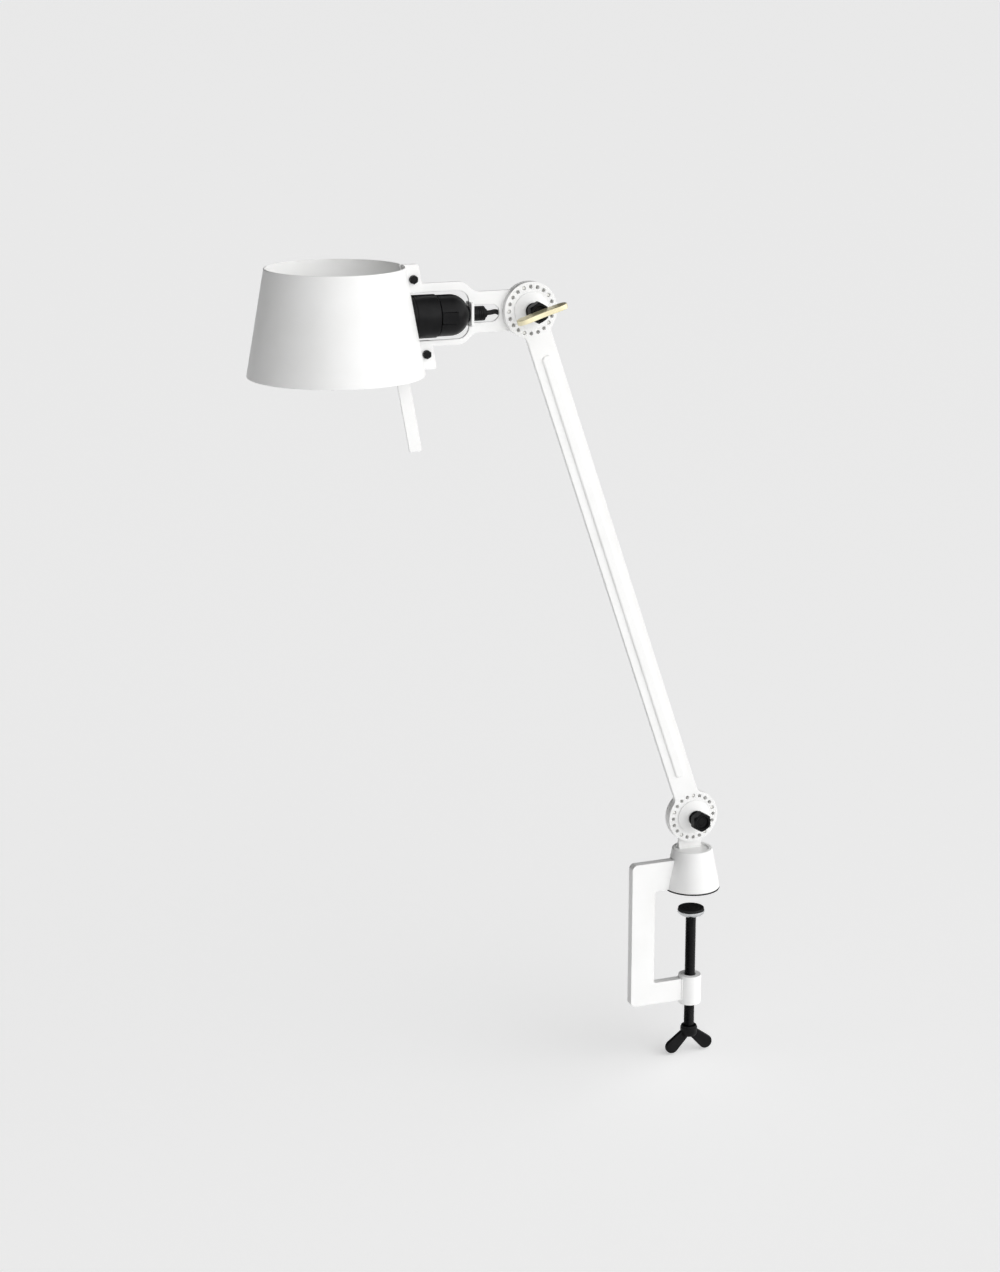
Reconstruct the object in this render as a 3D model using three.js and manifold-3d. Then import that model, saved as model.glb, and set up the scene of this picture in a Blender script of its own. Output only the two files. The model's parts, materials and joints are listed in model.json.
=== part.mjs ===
// Swing arm desk lamp that clamps to a table edge.
// Millimetres, +Z up. The origin is the middle of the seat that stands on the table top, on the
// axis that the lamp swivels about. -X points to the shade, -Y to the side of the clamp knobs.
import * as THREE from "three";
import { mergeVertices } from "three/addons/utils/BufferGeometryUtils.js";
import Module from "manifold-3d";

const wasm = await Module();
wasm.setup();

// ---------------------------------------------------------------- driving dimensions

const GAP = 0.3; // air between two pieces that rest on each other
const CLEAR = 0.25; // radial clearance of a bolt in its hole

// Arm: a flat bar with a round disc at each end. A rib in front makes room for the lead behind.
const ARM_LENGTH = 600; // pivot to pivot
const ARM_TILT = THREE.MathUtils.degToRad(18.92); // lean from upright, towards the shade
const ARM_WIDTH = 28;
const ARM_SHEET = 5.5;
const ARM_FRONT = -1.5; // y of the front face
const DISC_RADIUS = 29;
const DISC_FILLET = 8; // where the bar runs into a disc
const RIB_WIDTH = 12;
const RIB_HEIGHT = 2.4;
const RIB_START = 50; // from either pivot
const GROOVE_WIDTH = 7.6; // for the lead, in the arm's back
const GROOVE_DEPTH = 4.2;
const GROOVE_LOW = 36; // above the lower pivot
const GROOVE_HIGH = 552;

// Ring of index holes in each disc, and the pegs that stand in every fourth one.
const INDEX_COUNT = 20;
const INDEX_RADIUS = 24;
const INDEX_HOLE = 2;
const PEG_COUNT = 5;
const PEG_RADIUS = 1.6;
const INDEX_RING = 0.8;

// Pivot bolts and what is threaded on them.
const BOLT_RADIUS = 4;
const BOLT_HEAD_FLATS = 13;
const BOLT_HEAD_HEIGHT = 5.3;
const WASHER_RADIUS = 8.5;
const WASHER_HEIGHT = 1.5;
const DISH_RADIUS = 18.5;
const DISH_HEIGHT = 5.5;
const KNOB_FLATS = 19.4;
const KNOB_NECK = 7.4;
const KNOB_NECK_LENGTH = 5.3;
const KNOB_HEAD_LENGTH = 10;
const WING_TILT = THREE.MathUtils.degToRad(17); // the brass wing, from level
const WING_THICK = 5.2;
const WING_REACH = 28;

// Base: swivelling tongue in a round cup on the clamp.
const PIVOT_HEIGHT = 82; // lower pivot above the table top
const TONGUE_SHEET = 4;
const TONGUE_WIDTH = 27;
const CUP_HEIGHT = 46;
const CUP_FOOT_RADIUS = 31.3;
const CUP_TOP_RADIUS = 22;
const CUP_WALL = 3.6;
const FOOT_PAD = 1.2;
const ROTOR_RADIUS = 17.7;
const ROTOR_TOP = 44;
const ROTOR_HEIGHT = 2.7;
const WEB_TOP = 40;
const WEB_BOTTOM = 34;
const STEM_RADIUS = 7.5;
const STUD_RADIUS = 5;
const SET_SCREW_RADIUS = 2.5; // screws through the back of the cup that hold it to the clamp
const SET_SCREW_X = 9;
const SET_SCREW_Z = 12;

// Clamp: a C cut from thick plate, with a screw up through its lower leg.
const CLAMP_PLATE = 10;
const CLAMP_OUTER = -74;
const CLAMP_INNER = -46.3;
const CLAMP_TOP = 35;
const CLAMP_LOW_TOP = -106;
const CLAMP_BOTTOM = -131;
const TABLE = 24; // thickness of the table that the clamp grips
const BOSS_RADIUS = 12.8;
const BOSS_TOP = -103;
const BOSS_BOTTOM = -136.5;
const SPINDLE_RADIUS = 5.9;
const PAD_RADIUS = 15;
const PAD_RUBBER = 2.6;
const PAD_CUP = 5;
const HUB_RADIUS = 9.5;
const HUB_TOP = -164;
const HUB_BOTTOM = -176;

// Head: a plate from the elbow to the shade, with the lampholder in its cut-out.
const HEAD_SHEET = 3;
const SHADE_AXIS = -207; // from the elbow pivot, along X
const SHADE_TOP = 52.2; // above the elbow pivot
const SHADE_BOTTOM = -55.6;
const SHADE_TOP_RADIUS = 70.2;
const SHADE_BOTTOM_RADIUS = 89.5;
const SHADE_SHEET = 1.2;
const SEAM_WIDTH = 17;
const HOLDER_CUTOUT = 24.5;
const HANDLE_WIDTH = 13.4;
const HANDLE_INSET = 27.4; // from the shade's side to the handle's outer edge
const HANDLE_END = -139;
const TAB_FACE = -62; // side of the cross tab that the cable gland sits on
const TAB_HEIGHT = 25;
const TAB_REACH = 8.5; // to either side of the plate's mid-plane
const SLOT_END = -31.9; // the lead's slot, towards the elbow
const SLOT_HALF = 9;
const SEAM_BOLT_RADIUS = 2.5;
const SEAM_BOLT_FLATS = 8;
const SEAM_BOLT_HEIGHTS = [36.7, -39.5]; // above the elbow pivot

// Lampholder, bulb and lead.
const HOLDER_Z = -1.5; // axis of the lampholder, from the elbow pivot
const COLLAR_RADIUS = 22;
const DOME_RADIUS = 21;
const COLLAR_START = -152;
const COLLAR_END = -101;
const NIPPLE_RADIUS = 5;
const GLAND_RADIUS = 7.5;
const GLAND_STEP = -48.6; // where the gland narrows
const GLAND_END = -46;
const LEAD_RADIUS = 2.5;
const LOOP_END = 62; // from the elbow pivot, down the arm, to where the lead enters the groove
const LEAD_EXIT = 54; // from the lower pivot, up the arm, to the outlet
const ROCKER_X = -92; // middle of the switch, from the elbow pivot
const ROCKER_Z = -2;
const CAP_END = -136; // bulb: where the screw cap meets the glass
const BULB_RADIUS = 30;
const BULB_MIDDLE = -196;

// ---------------------------------------------------------------- values worked out from them

const ELBOW = new THREE.Vector3(
  -ARM_LENGTH * Math.sin(ARM_TILT),
  0,
  PIVOT_HEIGHT + ARM_LENGTH * Math.cos(ARM_TILT),
);
// y of the faces that lie behind the arm's discs
const ARM_BACK = ARM_FRONT + ARM_SHEET;
const PLATE_FRONT = ARM_BACK + INDEX_RING + 2 * GAP;
const HEAD_Y = PLATE_FRONT + HEAD_SHEET / 2; // mid-plane of the head plate, shade and lampholder
const CUTOUT_TOP = HOLDER_Z + HOLDER_CUTOUT;
const CUTOUT_BOTTOM = HOLDER_Z - HOLDER_CUTOUT;
const SHADE_SLOPE = (SHADE_BOTTOM_RADIUS - SHADE_TOP_RADIUS) / (SHADE_TOP - SHADE_BOTTOM);
const DISC_STEP = (2 * Math.PI) / INDEX_COUNT;
const ARM_LEAD_Y = ARM_BACK - GROOVE_DEPTH + GAP + LEAD_RADIUS; // the lead lies in the groove

// Outer radius of the shade at a height above the elbow pivot.
function shadeRadius(height) {
  return SHADE_TOP_RADIUS + SHADE_SLOPE * (SHADE_TOP - height);
}

// X of the shade's side that faces the elbow, at a height above the elbow pivot.
function shadeSide(height) {
  return SHADE_AXIS + shadeRadius(height);
}

// ---------------------------------------------------------------- solids

// A closed geometry as a solid that can be joined and cut.
function solidOf(geometry) {
  const bare = geometry.clone();
  bare.deleteAttribute("normal");
  bare.deleteAttribute("uv");
  const merged = mergeVertices(bare, 1e-4);
  return new wasm.Manifold(
    new wasm.Mesh({
      numProp: 3,
      vertProperties: merged.attributes.position.array,
      triVerts: new Uint32Array(merged.index.array),
    }),
  );
}

function geometryOf(solid) {
  const mesh = solid.getMesh();
  const geometry = new THREE.BufferGeometry();
  geometry.setAttribute("position", new THREE.BufferAttribute(mesh.vertProperties, 3));
  geometry.setIndex(new THREE.BufferAttribute(mesh.triVerts, 1));
  return geometry;
}

function join(...geometries) {
  const [first, ...rest] = geometries.map(solidOf);
  return geometryOf(rest.reduce((whole, piece) => whole.add(piece), first));
}

function cut(geometry, ...tools) {
  return geometryOf(tools.map(solidOf).reduce((whole, tool) => whole.subtract(tool), solidOf(geometry)));
}

// An outline drawn in X and Z, made into a plate from y = front to y = back.
function plate(shape, front, back, steps = 12) {
  const geometry = new THREE.ExtrudeGeometry(shape, {
    depth: back - front,
    bevelEnabled: false,
    curveSegments: steps,
  });
  return geometry.rotateX(Math.PI / 2).translate(0, back, 0);
}

function box(low, high) {
  const size = high.map((value, i) => value - low[i]);
  const middle = high.map((value, i) => (value + low[i]) / 2);
  return new THREE.BoxGeometry(...size).translate(...middle);
}

// A turned piece about X, Y or Z. The profile lists [radius, place along the axis], with the
// outside running in the axis's direction.
function turned(axis, profile, sides = 24) {
  const points = profile.map(([radius, along]) => new THREE.Vector2(radius, along));
  const geometry = new THREE.LatheGeometry(points, sides);
  if (axis === "x") geometry.rotateZ(-Math.PI / 2);
  if (axis === "z") geometry.rotateX(Math.PI / 2);
  return geometry;
}

function rod(axis, radius, from, to, sides = 20) {
  return turned(axis, [[0, from], [radius, from], [radius, to], [0, to]], sides);
}

function ring(axis, outer, inner, from, to, sides = 20) {
  return turned(
    axis,
    [[inner, from], [outer, from], [outer, to], [inner, to], [inner, from]],
    sides,
  );
}

// A hexagonal prism about X, Y or Z, measured across its flats.
function hexagon(axis, flats, from, to) {
  return rod(axis, flats / Math.sqrt(3), from, to, 6);
}

function roundedBox(left, right, bottom, top, radius) {
  const shape = new THREE.Shape();
  shape.moveTo(left + radius, bottom);
  shape.lineTo(right - radius, bottom);
  shape.absarc(right - radius, bottom + radius, radius, -Math.PI / 2, 0);
  shape.lineTo(right, top - radius);
  shape.absarc(right - radius, top - radius, radius, 0, Math.PI / 2);
  shape.lineTo(left + radius, top);
  shape.absarc(left + radius, top - radius, radius, Math.PI / 2, Math.PI);
  shape.lineTo(left, bottom + radius);
  shape.absarc(left + radius, bottom + radius, radius, Math.PI, 1.5 * Math.PI);
  shape.closePath();
  return shape;
}

// ---------------------------------------------------------------- finishes

const FINISHES = {
  white_coat: { color: 0xf4f4f2, roughness: 0.45, metalness: 0 },
  black_plastic: { color: 0x18181a, roughness: 0.5, metalness: 0 },
  black_steel: { color: 0x1a1a1b, roughness: 0.45, metalness: 0.4 },
  brass: { color: 0xcfb66a, roughness: 0.3, metalness: 1 },
  bare_steel: { color: 0xb8babc, roughness: 0.35, metalness: 1 },
  rubber: { color: 0x262626, roughness: 0.85, metalness: 0 },
  nylon: { color: 0xe9e7e0, roughness: 0.6, metalness: 0 },
  frosted_glass: { color: 0xf3f1ea, roughness: 0.35, metalness: 0 },
};

function named(name, finish, geometry) {
  const mesh = new THREE.Mesh(geometry, new THREE.MeshStandardMaterial(FINISHES[finish]));
  mesh.name = name;
  return mesh;
}

const lamp = new THREE.Group();
const arm = new THREE.Group(); // origin at the lower pivot, +Z along the arm
arm.position.set(0, 0, PIVOT_HEIGHT);
arm.rotation.y = -ARM_TILT;
const lowerJoint = new THREE.Group(); // origin at the lower pivot
lowerJoint.position.set(0, 0, PIVOT_HEIGHT);
const head = new THREE.Group(); // origin at the elbow pivot
head.position.copy(ELBOW);
lamp.add(arm, lowerJoint, head);

// ---------------------------------------------------------------- clamp

function clampFrame() {
  const step = 20; // height of the upper leg inside the cup
  const stepEnd = -20;
  const tongueEnd = 14; // the upper leg reaches past the middle of the cup
  const lowerEnd = 4 - BOSS_RADIUS;
  const corner = 6;
  const shape = new THREE.Shape();
  shape.moveTo(CLAMP_OUTER + corner, CLAMP_BOTTOM);
  shape.lineTo(lowerEnd, CLAMP_BOTTOM);
  shape.lineTo(lowerEnd, CLAMP_LOW_TOP);
  shape.lineTo(CLAMP_INNER, CLAMP_LOW_TOP);
  shape.lineTo(CLAMP_INNER, FOOT_PAD + GAP);
  shape.lineTo(tongueEnd, FOOT_PAD + GAP);
  shape.lineTo(tongueEnd, step);
  shape.lineTo(stepEnd, step);
  shape.lineTo(stepEnd, WEB_BOTTOM - GAP);
  shape.lineTo(stepEnd - 4, CLAMP_TOP);
  shape.lineTo(CLAMP_OUTER + corner, CLAMP_TOP);
  shape.absarc(CLAMP_OUTER + corner, CLAMP_TOP - corner, corner, Math.PI / 2, Math.PI);
  shape.lineTo(CLAMP_OUTER, CLAMP_BOTTOM + corner);
  shape.absarc(CLAMP_OUTER + corner, CLAMP_BOTTOM + corner, corner, Math.PI, 1.5 * Math.PI);
  const blank = plate(shape, -CLAMP_PLATE / 2, CLAMP_PLATE / 2, 6);
  const bossSeat = rod("z", BOSS_RADIUS + GAP, BOSS_BOTTOM - 1, BOSS_TOP + 1, 40);
  return named("clamp_frame", "white_coat", cut(blank, bossSeat));
}

function clampBoss() {
  const bore = SPINDLE_RADIUS + CLEAR;
  return named("clamp_boss", "white_coat", ring("z", BOSS_RADIUS, bore, BOSS_BOTTOM, BOSS_TOP, 40));
}

function clampScrew() {
  const neck = -TABLE - PAD_RUBBER - PAD_CUP + 2.4; // the ball end stands inside the pad's cup
  const spindle = turned("z", [
    [0, HUB_TOP + GAP],
    [SPINDLE_RADIUS, HUB_TOP + GAP],
    [SPINDLE_RADIUS, neck - 6],
    [3.4, neck - 4.5],
    [3.4, neck],
    [0, neck],
  ]);
  return named("clamp_spindle", "black_steel", spindle);
}

// One flat teardrop wing, from the hub to its round end.
function wingShape(side) {
  const start = new THREE.Vector2(0, HUB_BOTTOM + 7);
  const end = new THREE.Vector2(side * 20.6, HUB_BOTTOM - 11.5);
  const radius = 7.8;
  const narrow = 4;
  const heading = Math.atan2(end.y - start.y, end.x - start.x);
  const shape = new THREE.Shape();
  shape.absarc(end.x, end.y, radius, heading - Math.PI / 2, heading + Math.PI / 2);
  shape.absarc(start.x, start.y, narrow, heading + Math.PI / 2, heading + 1.5 * Math.PI);
  shape.closePath();
  return shape;
}

function wingHandle() {
  const thick = 5.2;
  const hub = turned("z", [
    [0, HUB_BOTTOM],
    [HUB_RADIUS - 1.5, HUB_BOTTOM],
    [HUB_RADIUS, HUB_BOTTOM + 2],
    [HUB_RADIUS, HUB_TOP - 2],
    [HUB_RADIUS - 1.5, HUB_TOP],
    [0, HUB_TOP],
  ]);
  const wings = [-1, 1].map((side) => plate(wingShape(side), -thick / 2, thick / 2, 10));
  return named("clamp_wing_handle", "black_plastic", join(hub, ...wings));
}

function pressurePad() {
  const top = -TABLE - PAD_RUBBER - GAP;
  const bottom = top - PAD_CUP;
  const cup = turned("z", [
    [3.8, bottom],
    [PAD_RADIUS - 2, bottom],
    [PAD_RADIUS, bottom + 2],
    [PAD_RADIUS, top],
    [0, top],
    [0, top - 1.8],
    [4.6, top - 1.8],
    [4.6, bottom + 1.2],
    [3.8, bottom + 1.2],
    [3.8, bottom],
  ]);
  return named("pressure_pad", "bare_steel", cup);
}

function padCushion() {
  return named("pad_cushion", "rubber", rod("z", PAD_RADIUS - 0.6, -TABLE - PAD_RUBBER, -TABLE, 40));
}

// ---------------------------------------------------------------- base

function cupRadius(height) {
  return CUP_FOOT_RADIUS + ((CUP_TOP_RADIUS - CUP_FOOT_RADIUS) * height) / CUP_HEIGHT;
}

function baseCup() {
  const foot = FOOT_PAD + GAP;
  const rim = ROTOR_RADIUS + GAP;
  const cup = turned(
    "z",
    [
      [cupRadius(foot) - CUP_WALL, foot],
      [cupRadius(foot), foot],
      [CUP_TOP_RADIUS + 0.1, CUP_HEIGHT - 1],
      [CUP_TOP_RADIUS - 1, CUP_HEIGHT],
      [rim + 0.6, CUP_HEIGHT],
      [rim, CUP_HEIGHT - 0.6],
      [rim, WEB_TOP],
      [STEM_RADIUS + GAP, WEB_TOP],
      [STEM_RADIUS + GAP, WEB_BOTTOM],
      [cupRadius(WEB_BOTTOM) - CUP_WALL, WEB_BOTTOM],
      [cupRadius(foot) - CUP_WALL, foot],
    ],
    40,
  );
  const half = CLAMP_PLATE / 2 + GAP;
  const legSlot = box([-40, -half, 0], [0, half, CLAMP_TOP + GAP]);
  const screwHoles = [-SET_SCREW_X, SET_SCREW_X].map((x) =>
    rod("y", SET_SCREW_RADIUS + GAP, 10, 40, 16).translate(x, 0, SET_SCREW_Z),
  );
  return named("base_cup", "white_coat", cut(cup, legSlot, ...screwHoles));
}

function footPad() {
  return named("foot_pad", "rubber", rod("z", CUP_FOOT_RADIUS - 0.4, 0, FOOT_PAD, 40));
}

function cupSetScrew(name, x) {
  const screw = rod("y", SET_SCREW_RADIUS, CLAMP_PLATE / 2 + GAP, 26, 16);
  return named(name, "black_steel", screw.translate(x, 0, SET_SCREW_Z));
}

// The disc that turns in the cup's rim, with the upright tongue welded on it.
function swivelTongue() {
  const rotor = turned(
    "z",
    [
      [0, 22],
      [STUD_RADIUS, 22],
      [STUD_RADIUS, WEB_BOTTOM],
      [STEM_RADIUS, WEB_BOTTOM],
      [STEM_RADIUS, ROTOR_TOP - ROTOR_HEIGHT],
      [ROTOR_RADIUS, ROTOR_TOP - ROTOR_HEIGHT],
      [ROTOR_RADIUS, ROTOR_TOP],
      [0, ROTOR_TOP],
    ],
    40,
  );
  const back = PLATE_FRONT + TONGUE_SHEET;
  const neck = box([-TONGUE_WIDTH / 2, PLATE_FRONT, ROTOR_TOP - 1], [TONGUE_WIDTH / 2, back, PIVOT_HEIGHT]);
  const disc = rod("y", DISC_RADIUS, PLATE_FRONT, back, 48).translate(0, 0, PIVOT_HEIGHT);
  const bore = rod("y", BOLT_RADIUS + CLEAR, -10, 10).translate(0, 0, PIVOT_HEIGHT);
  return named("swivel_tongue", "white_coat", cut(join(rotor, neck, disc), bore));
}

function swivelThrustWasher() {
  const washer = ring("z", ROTOR_RADIUS - 1, STEM_RADIUS + GAP, WEB_TOP + 0.3, WEB_TOP + 1, 40);
  return named("swivel_thrust_washer", "nylon", washer);
}

function swivelWasher() {
  const top = WEB_BOTTOM - GAP;
  return named("swivel_washer", "bare_steel", ring("z", 12, STUD_RADIUS + CLEAR, top - 1.6, top));
}

function swivelNut() {
  const top = WEB_BOTTOM - 1.6 - 2 * GAP;
  const nut = cut(hexagon("z", 17, top - 8, top), rod("z", STUD_RADIUS + CLEAR, 0, 50));
  return named("swivel_nut", "bare_steel", nut);
}

// ---------------------------------------------------------------- arm

function indexHoles(z) {
  return Array.from({ length: INDEX_COUNT }, (_, i) => {
    const angle = i * DISC_STEP;
    const x = INDEX_RADIUS * Math.sin(angle);
    const height = z + INDEX_RADIUS * Math.cos(angle);
    return rod("y", INDEX_HOLE, ARM_FRONT - 1, ARM_BACK + 1, 8).translate(x, 0, height);
  });
}

// One end of the arm's outline, clockwise: from the bar through a fillet, round the disc and out
// through the other fillet. The side is 1 at the lower end and -1 at the upper.
function discEnd(shape, z, side) {
  const across = ARM_WIDTH / 2 + DISC_FILLET;
  const rise = Math.sqrt((DISC_RADIUS + DISC_FILLET) ** 2 - across ** 2);
  const meet = Math.atan2(rise, across);
  const turn = side > 0 ? 0 : Math.PI;
  const height = z + side * rise;
  shape.absarc(side * across, height, DISC_FILLET, turn + Math.PI, turn + Math.PI + meet);
  shape.absarc(0, z, DISC_RADIUS, turn + meet, turn + Math.PI - meet, true);
  shape.absarc(-side * across, height, DISC_FILLET, turn - meet, turn);
}

function armPlate() {
  const outline = new THREE.Shape();
  discEnd(outline, 0, 1);
  discEnd(outline, ARM_LENGTH, -1);
  const bar = plate(outline, ARM_FRONT, ARM_BACK, 28);
  const shoulder = 1.8;
  const half = RIB_WIDTH / 2 - shoulder;
  const low = RIB_START + shoulder;
  const ribOutline = roundedBox(-half, half, low, ARM_LENGTH - low, 2.4);
  const rib = new THREE.ExtrudeGeometry(ribOutline, {
    depth: 1,
    bevelThickness: shoulder,
    bevelSize: shoulder,
    bevelSegments: 3,
    curveSegments: 4,
  });
  rib.rotateX(Math.PI / 2).translate(0, ARM_FRONT - RIB_HEIGHT + 1 + shoulder, 0);
  const groove = box(
    [-GROOVE_WIDTH / 2, ARM_BACK - GROOVE_DEPTH, GROOVE_LOW],
    [GROOVE_WIDTH / 2, ARM_BACK + 1, GROOVE_HIGH],
  );
  const bores = [0, ARM_LENGTH].map((z) => rod("y", BOLT_RADIUS + CLEAR, -20, 20).translate(0, 0, z));
  const holes = [...indexHoles(0), ...indexHoles(ARM_LENGTH), ...bores, groove];
  return named("arm_plate", "white_coat", cut(join(bar, rib), ...holes));
}

// Thin ring behind an arm disc, with pegs that stand in every fourth index hole.
function indexRing(name, z, firstPeg) {
  const front = ARM_BACK + GAP;
  const base = ring("y", DISC_RADIUS - 1, 19, front, front + INDEX_RING, 32);
  const pegs = Array.from({ length: PEG_COUNT }, (_, i) => {
    const angle = (firstPeg + (i * INDEX_COUNT) / PEG_COUNT) * DISC_STEP;
    const peg = rod("y", PEG_RADIUS, ARM_FRONT + 0.8, front + 0.2, 8);
    return peg.translate(INDEX_RADIUS * Math.sin(angle), 0, INDEX_RADIUS * Math.cos(angle));
  });
  return named(name, "nylon", join(base, ...pegs).translate(0, 0, z));
}

// A strap across the groove that holds the lead in.
function leadClip(name, z) {
  const half = 9;
  const blank = box([-half, ARM_BACK + GAP, z - 5], [half, ARM_BACK + 3.2, z + 5]);
  const lead = rod("z", LEAD_RADIUS + GAP, z - 6, z + 6, 16).translate(0, ARM_LEAD_Y, 0);
  return named(name, "black_plastic", cut(blank, lead));
}

// ---------------------------------------------------------------- pivot hardware

// The bolt, its back washer, the dished washer, the flange washer and the knob of one joint,
// about Y through the group's origin. plateBack is the back face of the piece behind the arm.
function pivotHardware(joint, plateBack) {
  const washerBack = plateBack + GAP + WASHER_HEIGHT;
  const headFront = washerBack + GAP;
  const dishFront = ARM_FRONT - GAP - DISH_HEIGHT;
  const flangeFront = dishFront - GAP - 1.8;
  const knobBack = flangeFront - GAP;
  const knobFront = knobBack - KNOB_NECK_LENGTH - KNOB_HEAD_LENGTH;
  const bore = BOLT_RADIUS + CLEAR;
  const bolt = join(
    rod("y", BOLT_RADIUS, knobFront + 4, headFront + 1),
    hexagon("y", BOLT_HEAD_FLATS, headFront, headFront + BOLT_HEAD_HEIGHT),
  );
  const dish = turned("y", [
    [bore, dishFront],
    [9, dishFront],
    [DISH_RADIUS, ARM_FRONT - GAP - 1],
    [DISH_RADIUS, ARM_FRONT - GAP],
    [bore, ARM_FRONT - GAP],
    [bore, dishFront],
  ]);
  const knob = join(
    rod("y", KNOB_NECK, knobBack - KNOB_NECK_LENGTH - 1, knobBack),
    hexagon("y", KNOB_FLATS, knobFront, knobBack - KNOB_NECK_LENGTH),
  );
  const socket = rod("y", bore, knobFront + 3, knobBack + 1);
  const washer = ring("y", WASHER_RADIUS, bore, plateBack + GAP, washerBack);
  const flange = ring("y", WASHER_RADIUS, bore, flangeFront, dishFront - GAP);
  return {
    pieces: [
      named(joint + "_pivot_bolt", "black_steel", bolt),
      named(joint + "_back_washer", "bare_steel", washer),
      named(joint + "_dished_washer", "white_coat", dish),
      named(joint + "_flange_washer", "black_steel", flange),
    ],
    knob: cut(knob, socket),
    knobFront,
  };
}

// The brass wing that stands across the front of the elbow knob, with its foot in the knob's slot.
function brassWing(knobFront) {
  const root = knobFront + 2.2;
  const waist = 14.5;
  const lobeBack = 1.5;
  const lobeFront = 15.5;
  const lobe = WING_REACH - 9;
  const middle = (lobeBack + lobeFront) / 2;
  const shape = new THREE.Shape();
  shape.moveTo(-8, 0);
  shape.lineTo(8, 0);
  shape.quadraticCurveTo(14, lobeBack, lobe, lobeBack);
  shape.quadraticCurveTo(WING_REACH, lobeBack, WING_REACH, middle);
  shape.quadraticCurveTo(WING_REACH, lobeFront, lobe, lobeFront);
  shape.quadraticCurveTo(10, lobeFront, 0, waist);
  shape.quadraticCurveTo(-10, lobeFront, -lobe, lobeFront);
  shape.quadraticCurveTo(-WING_REACH, lobeFront, -WING_REACH, middle);
  shape.quadraticCurveTo(-WING_REACH, lobeBack, -lobe, lobeBack);
  shape.quadraticCurveTo(-14, lobeBack, -8, 0);
  const wing = new THREE.ExtrudeGeometry(shape, {
    depth: WING_THICK,
    bevelEnabled: false,
    curveSegments: 8,
  });
  wing.translate(0, -root, -WING_THICK / 2).rotateX(Math.PI).rotateY(-WING_TILT);
  return named("elbow_brass_wing", "brass", wing);
}

function wingSlot(knobFront) {
  const half = WING_THICK / 2 + GAP;
  return box([-20, knobFront - 2, -half], [20, knobFront + 2.5, half]).rotateY(-WING_TILT);
}

// ---------------------------------------------------------------- head

// Outline of the plate: disc end, neck, wide part round the lampholder, and the seam edge.
function headOutline() {
  const wide = 32;
  const neck = 21;
  const cutEnd = TAB_FACE - HEAD_SHEET;
  const cutCorner = 12;
  const edgeTop = shadeSide(SHADE_TOP) + SEAM_WIDTH;
  const edgeBottom = shadeSide(SHADE_BOTTOM) + SEAM_WIDTH;
  const edgeAt = (height) =>
    edgeTop + ((edgeBottom - edgeTop) * (SHADE_TOP - height)) / (SHADE_TOP - SHADE_BOTTOM);
  const shape = new THREE.Shape();
  shape.moveTo(0, neck);
  shape.lineTo(-54, neck);
  shape.bezierCurveTo(-64, neck, -66, wide, -77, wide);
  shape.lineTo(edgeAt(wide), wide);
  shape.lineTo(edgeAt(SHADE_TOP - 1), SHADE_TOP - 1);
  shape.lineTo(shadeSide(SHADE_TOP) - 3, SHADE_TOP - 1);
  shape.lineTo(shadeSide(CUTOUT_TOP) - 3, CUTOUT_TOP);
  shape.lineTo(cutEnd - cutCorner, CUTOUT_TOP);
  shape.absarc(cutEnd - cutCorner, CUTOUT_TOP - cutCorner, cutCorner, Math.PI / 2, 0, true);
  shape.absarc(cutEnd - cutCorner, CUTOUT_BOTTOM + cutCorner, cutCorner, 0, -Math.PI / 2, true);
  shape.lineTo(handleEdge(CUTOUT_BOTTOM), CUTOUT_BOTTOM);
  shape.lineTo(handleEdge(HANDLE_END) + 2, HANDLE_END);
  shape.lineTo(handleEdge(HANDLE_END) + HANDLE_WIDTH - 2, HANDLE_END);
  shape.lineTo(handleEdge(HANDLE_END + 3) + HANDLE_WIDTH, HANDLE_END + 3);
  shape.lineTo(handleEdge(SHADE_BOTTOM) + HANDLE_WIDTH, SHADE_BOTTOM);
  shape.lineTo(handleEdge(-46) + HANDLE_WIDTH, -46);
  shape.lineTo(shadeSide(-46), -46);
  shape.lineTo(shadeSide(SHADE_BOTTOM + 1), SHADE_BOTTOM + 1);
  shape.lineTo(edgeAt(SHADE_BOTTOM + 1), SHADE_BOTTOM + 1);
  shape.lineTo(edgeAt(-wide), -wide);
  shape.lineTo(-77, -wide);
  shape.bezierCurveTo(-66, -wide, -64, -neck, -54, -neck);
  shape.lineTo(0, -neck);
  shape.closePath();
  return shape;
}

// X of the handle's outer edge, which runs parallel to the shade's side.
function handleEdge(height) {
  return shadeSide(height) - HANDLE_INSET;
}

function headBracket() {
  const back = PLATE_FRONT + HEAD_SHEET;
  const blank = plate(headOutline(), PLATE_FRONT, back, 16);
  const disc = rod("y", DISC_RADIUS, PLATE_FRONT, back, 48);
  const tab = box(
    [TAB_FACE - HEAD_SHEET, HEAD_Y - TAB_REACH, HOLDER_Z - TAB_HEIGHT / 2],
    [TAB_FACE, HEAD_Y + TAB_REACH, HOLDER_Z + TAB_HEIGHT / 2],
  );
  const slotLow = HOLDER_Z - SLOT_HALF;
  const slotHigh = HOLDER_Z + SLOT_HALF;
  const window = plate(roundedBox(TAB_FACE, SLOT_END, slotLow, slotHigh, SLOT_HALF - 0.1), -20, 20, 10);
  const windowCorner = box([TAB_FACE, PLATE_FRONT - 1, slotLow], [TAB_FACE + SLOT_HALF, back + 1, slotHigh]);
  const bore = rod("y", BOLT_RADIUS + CLEAR, -20, 20);
  const nippleHole = rod("x", NIPPLE_RADIUS + CLEAR, -80, -60).translate(0, HEAD_Y, HOLDER_Z);
  const body = join(blank, disc, tab);
  return named(
    "head_bracket",
    "white_coat",
    cut(body, window, windowCorner, bore, nippleHole, ...seamHoles()),
  );
}

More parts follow.
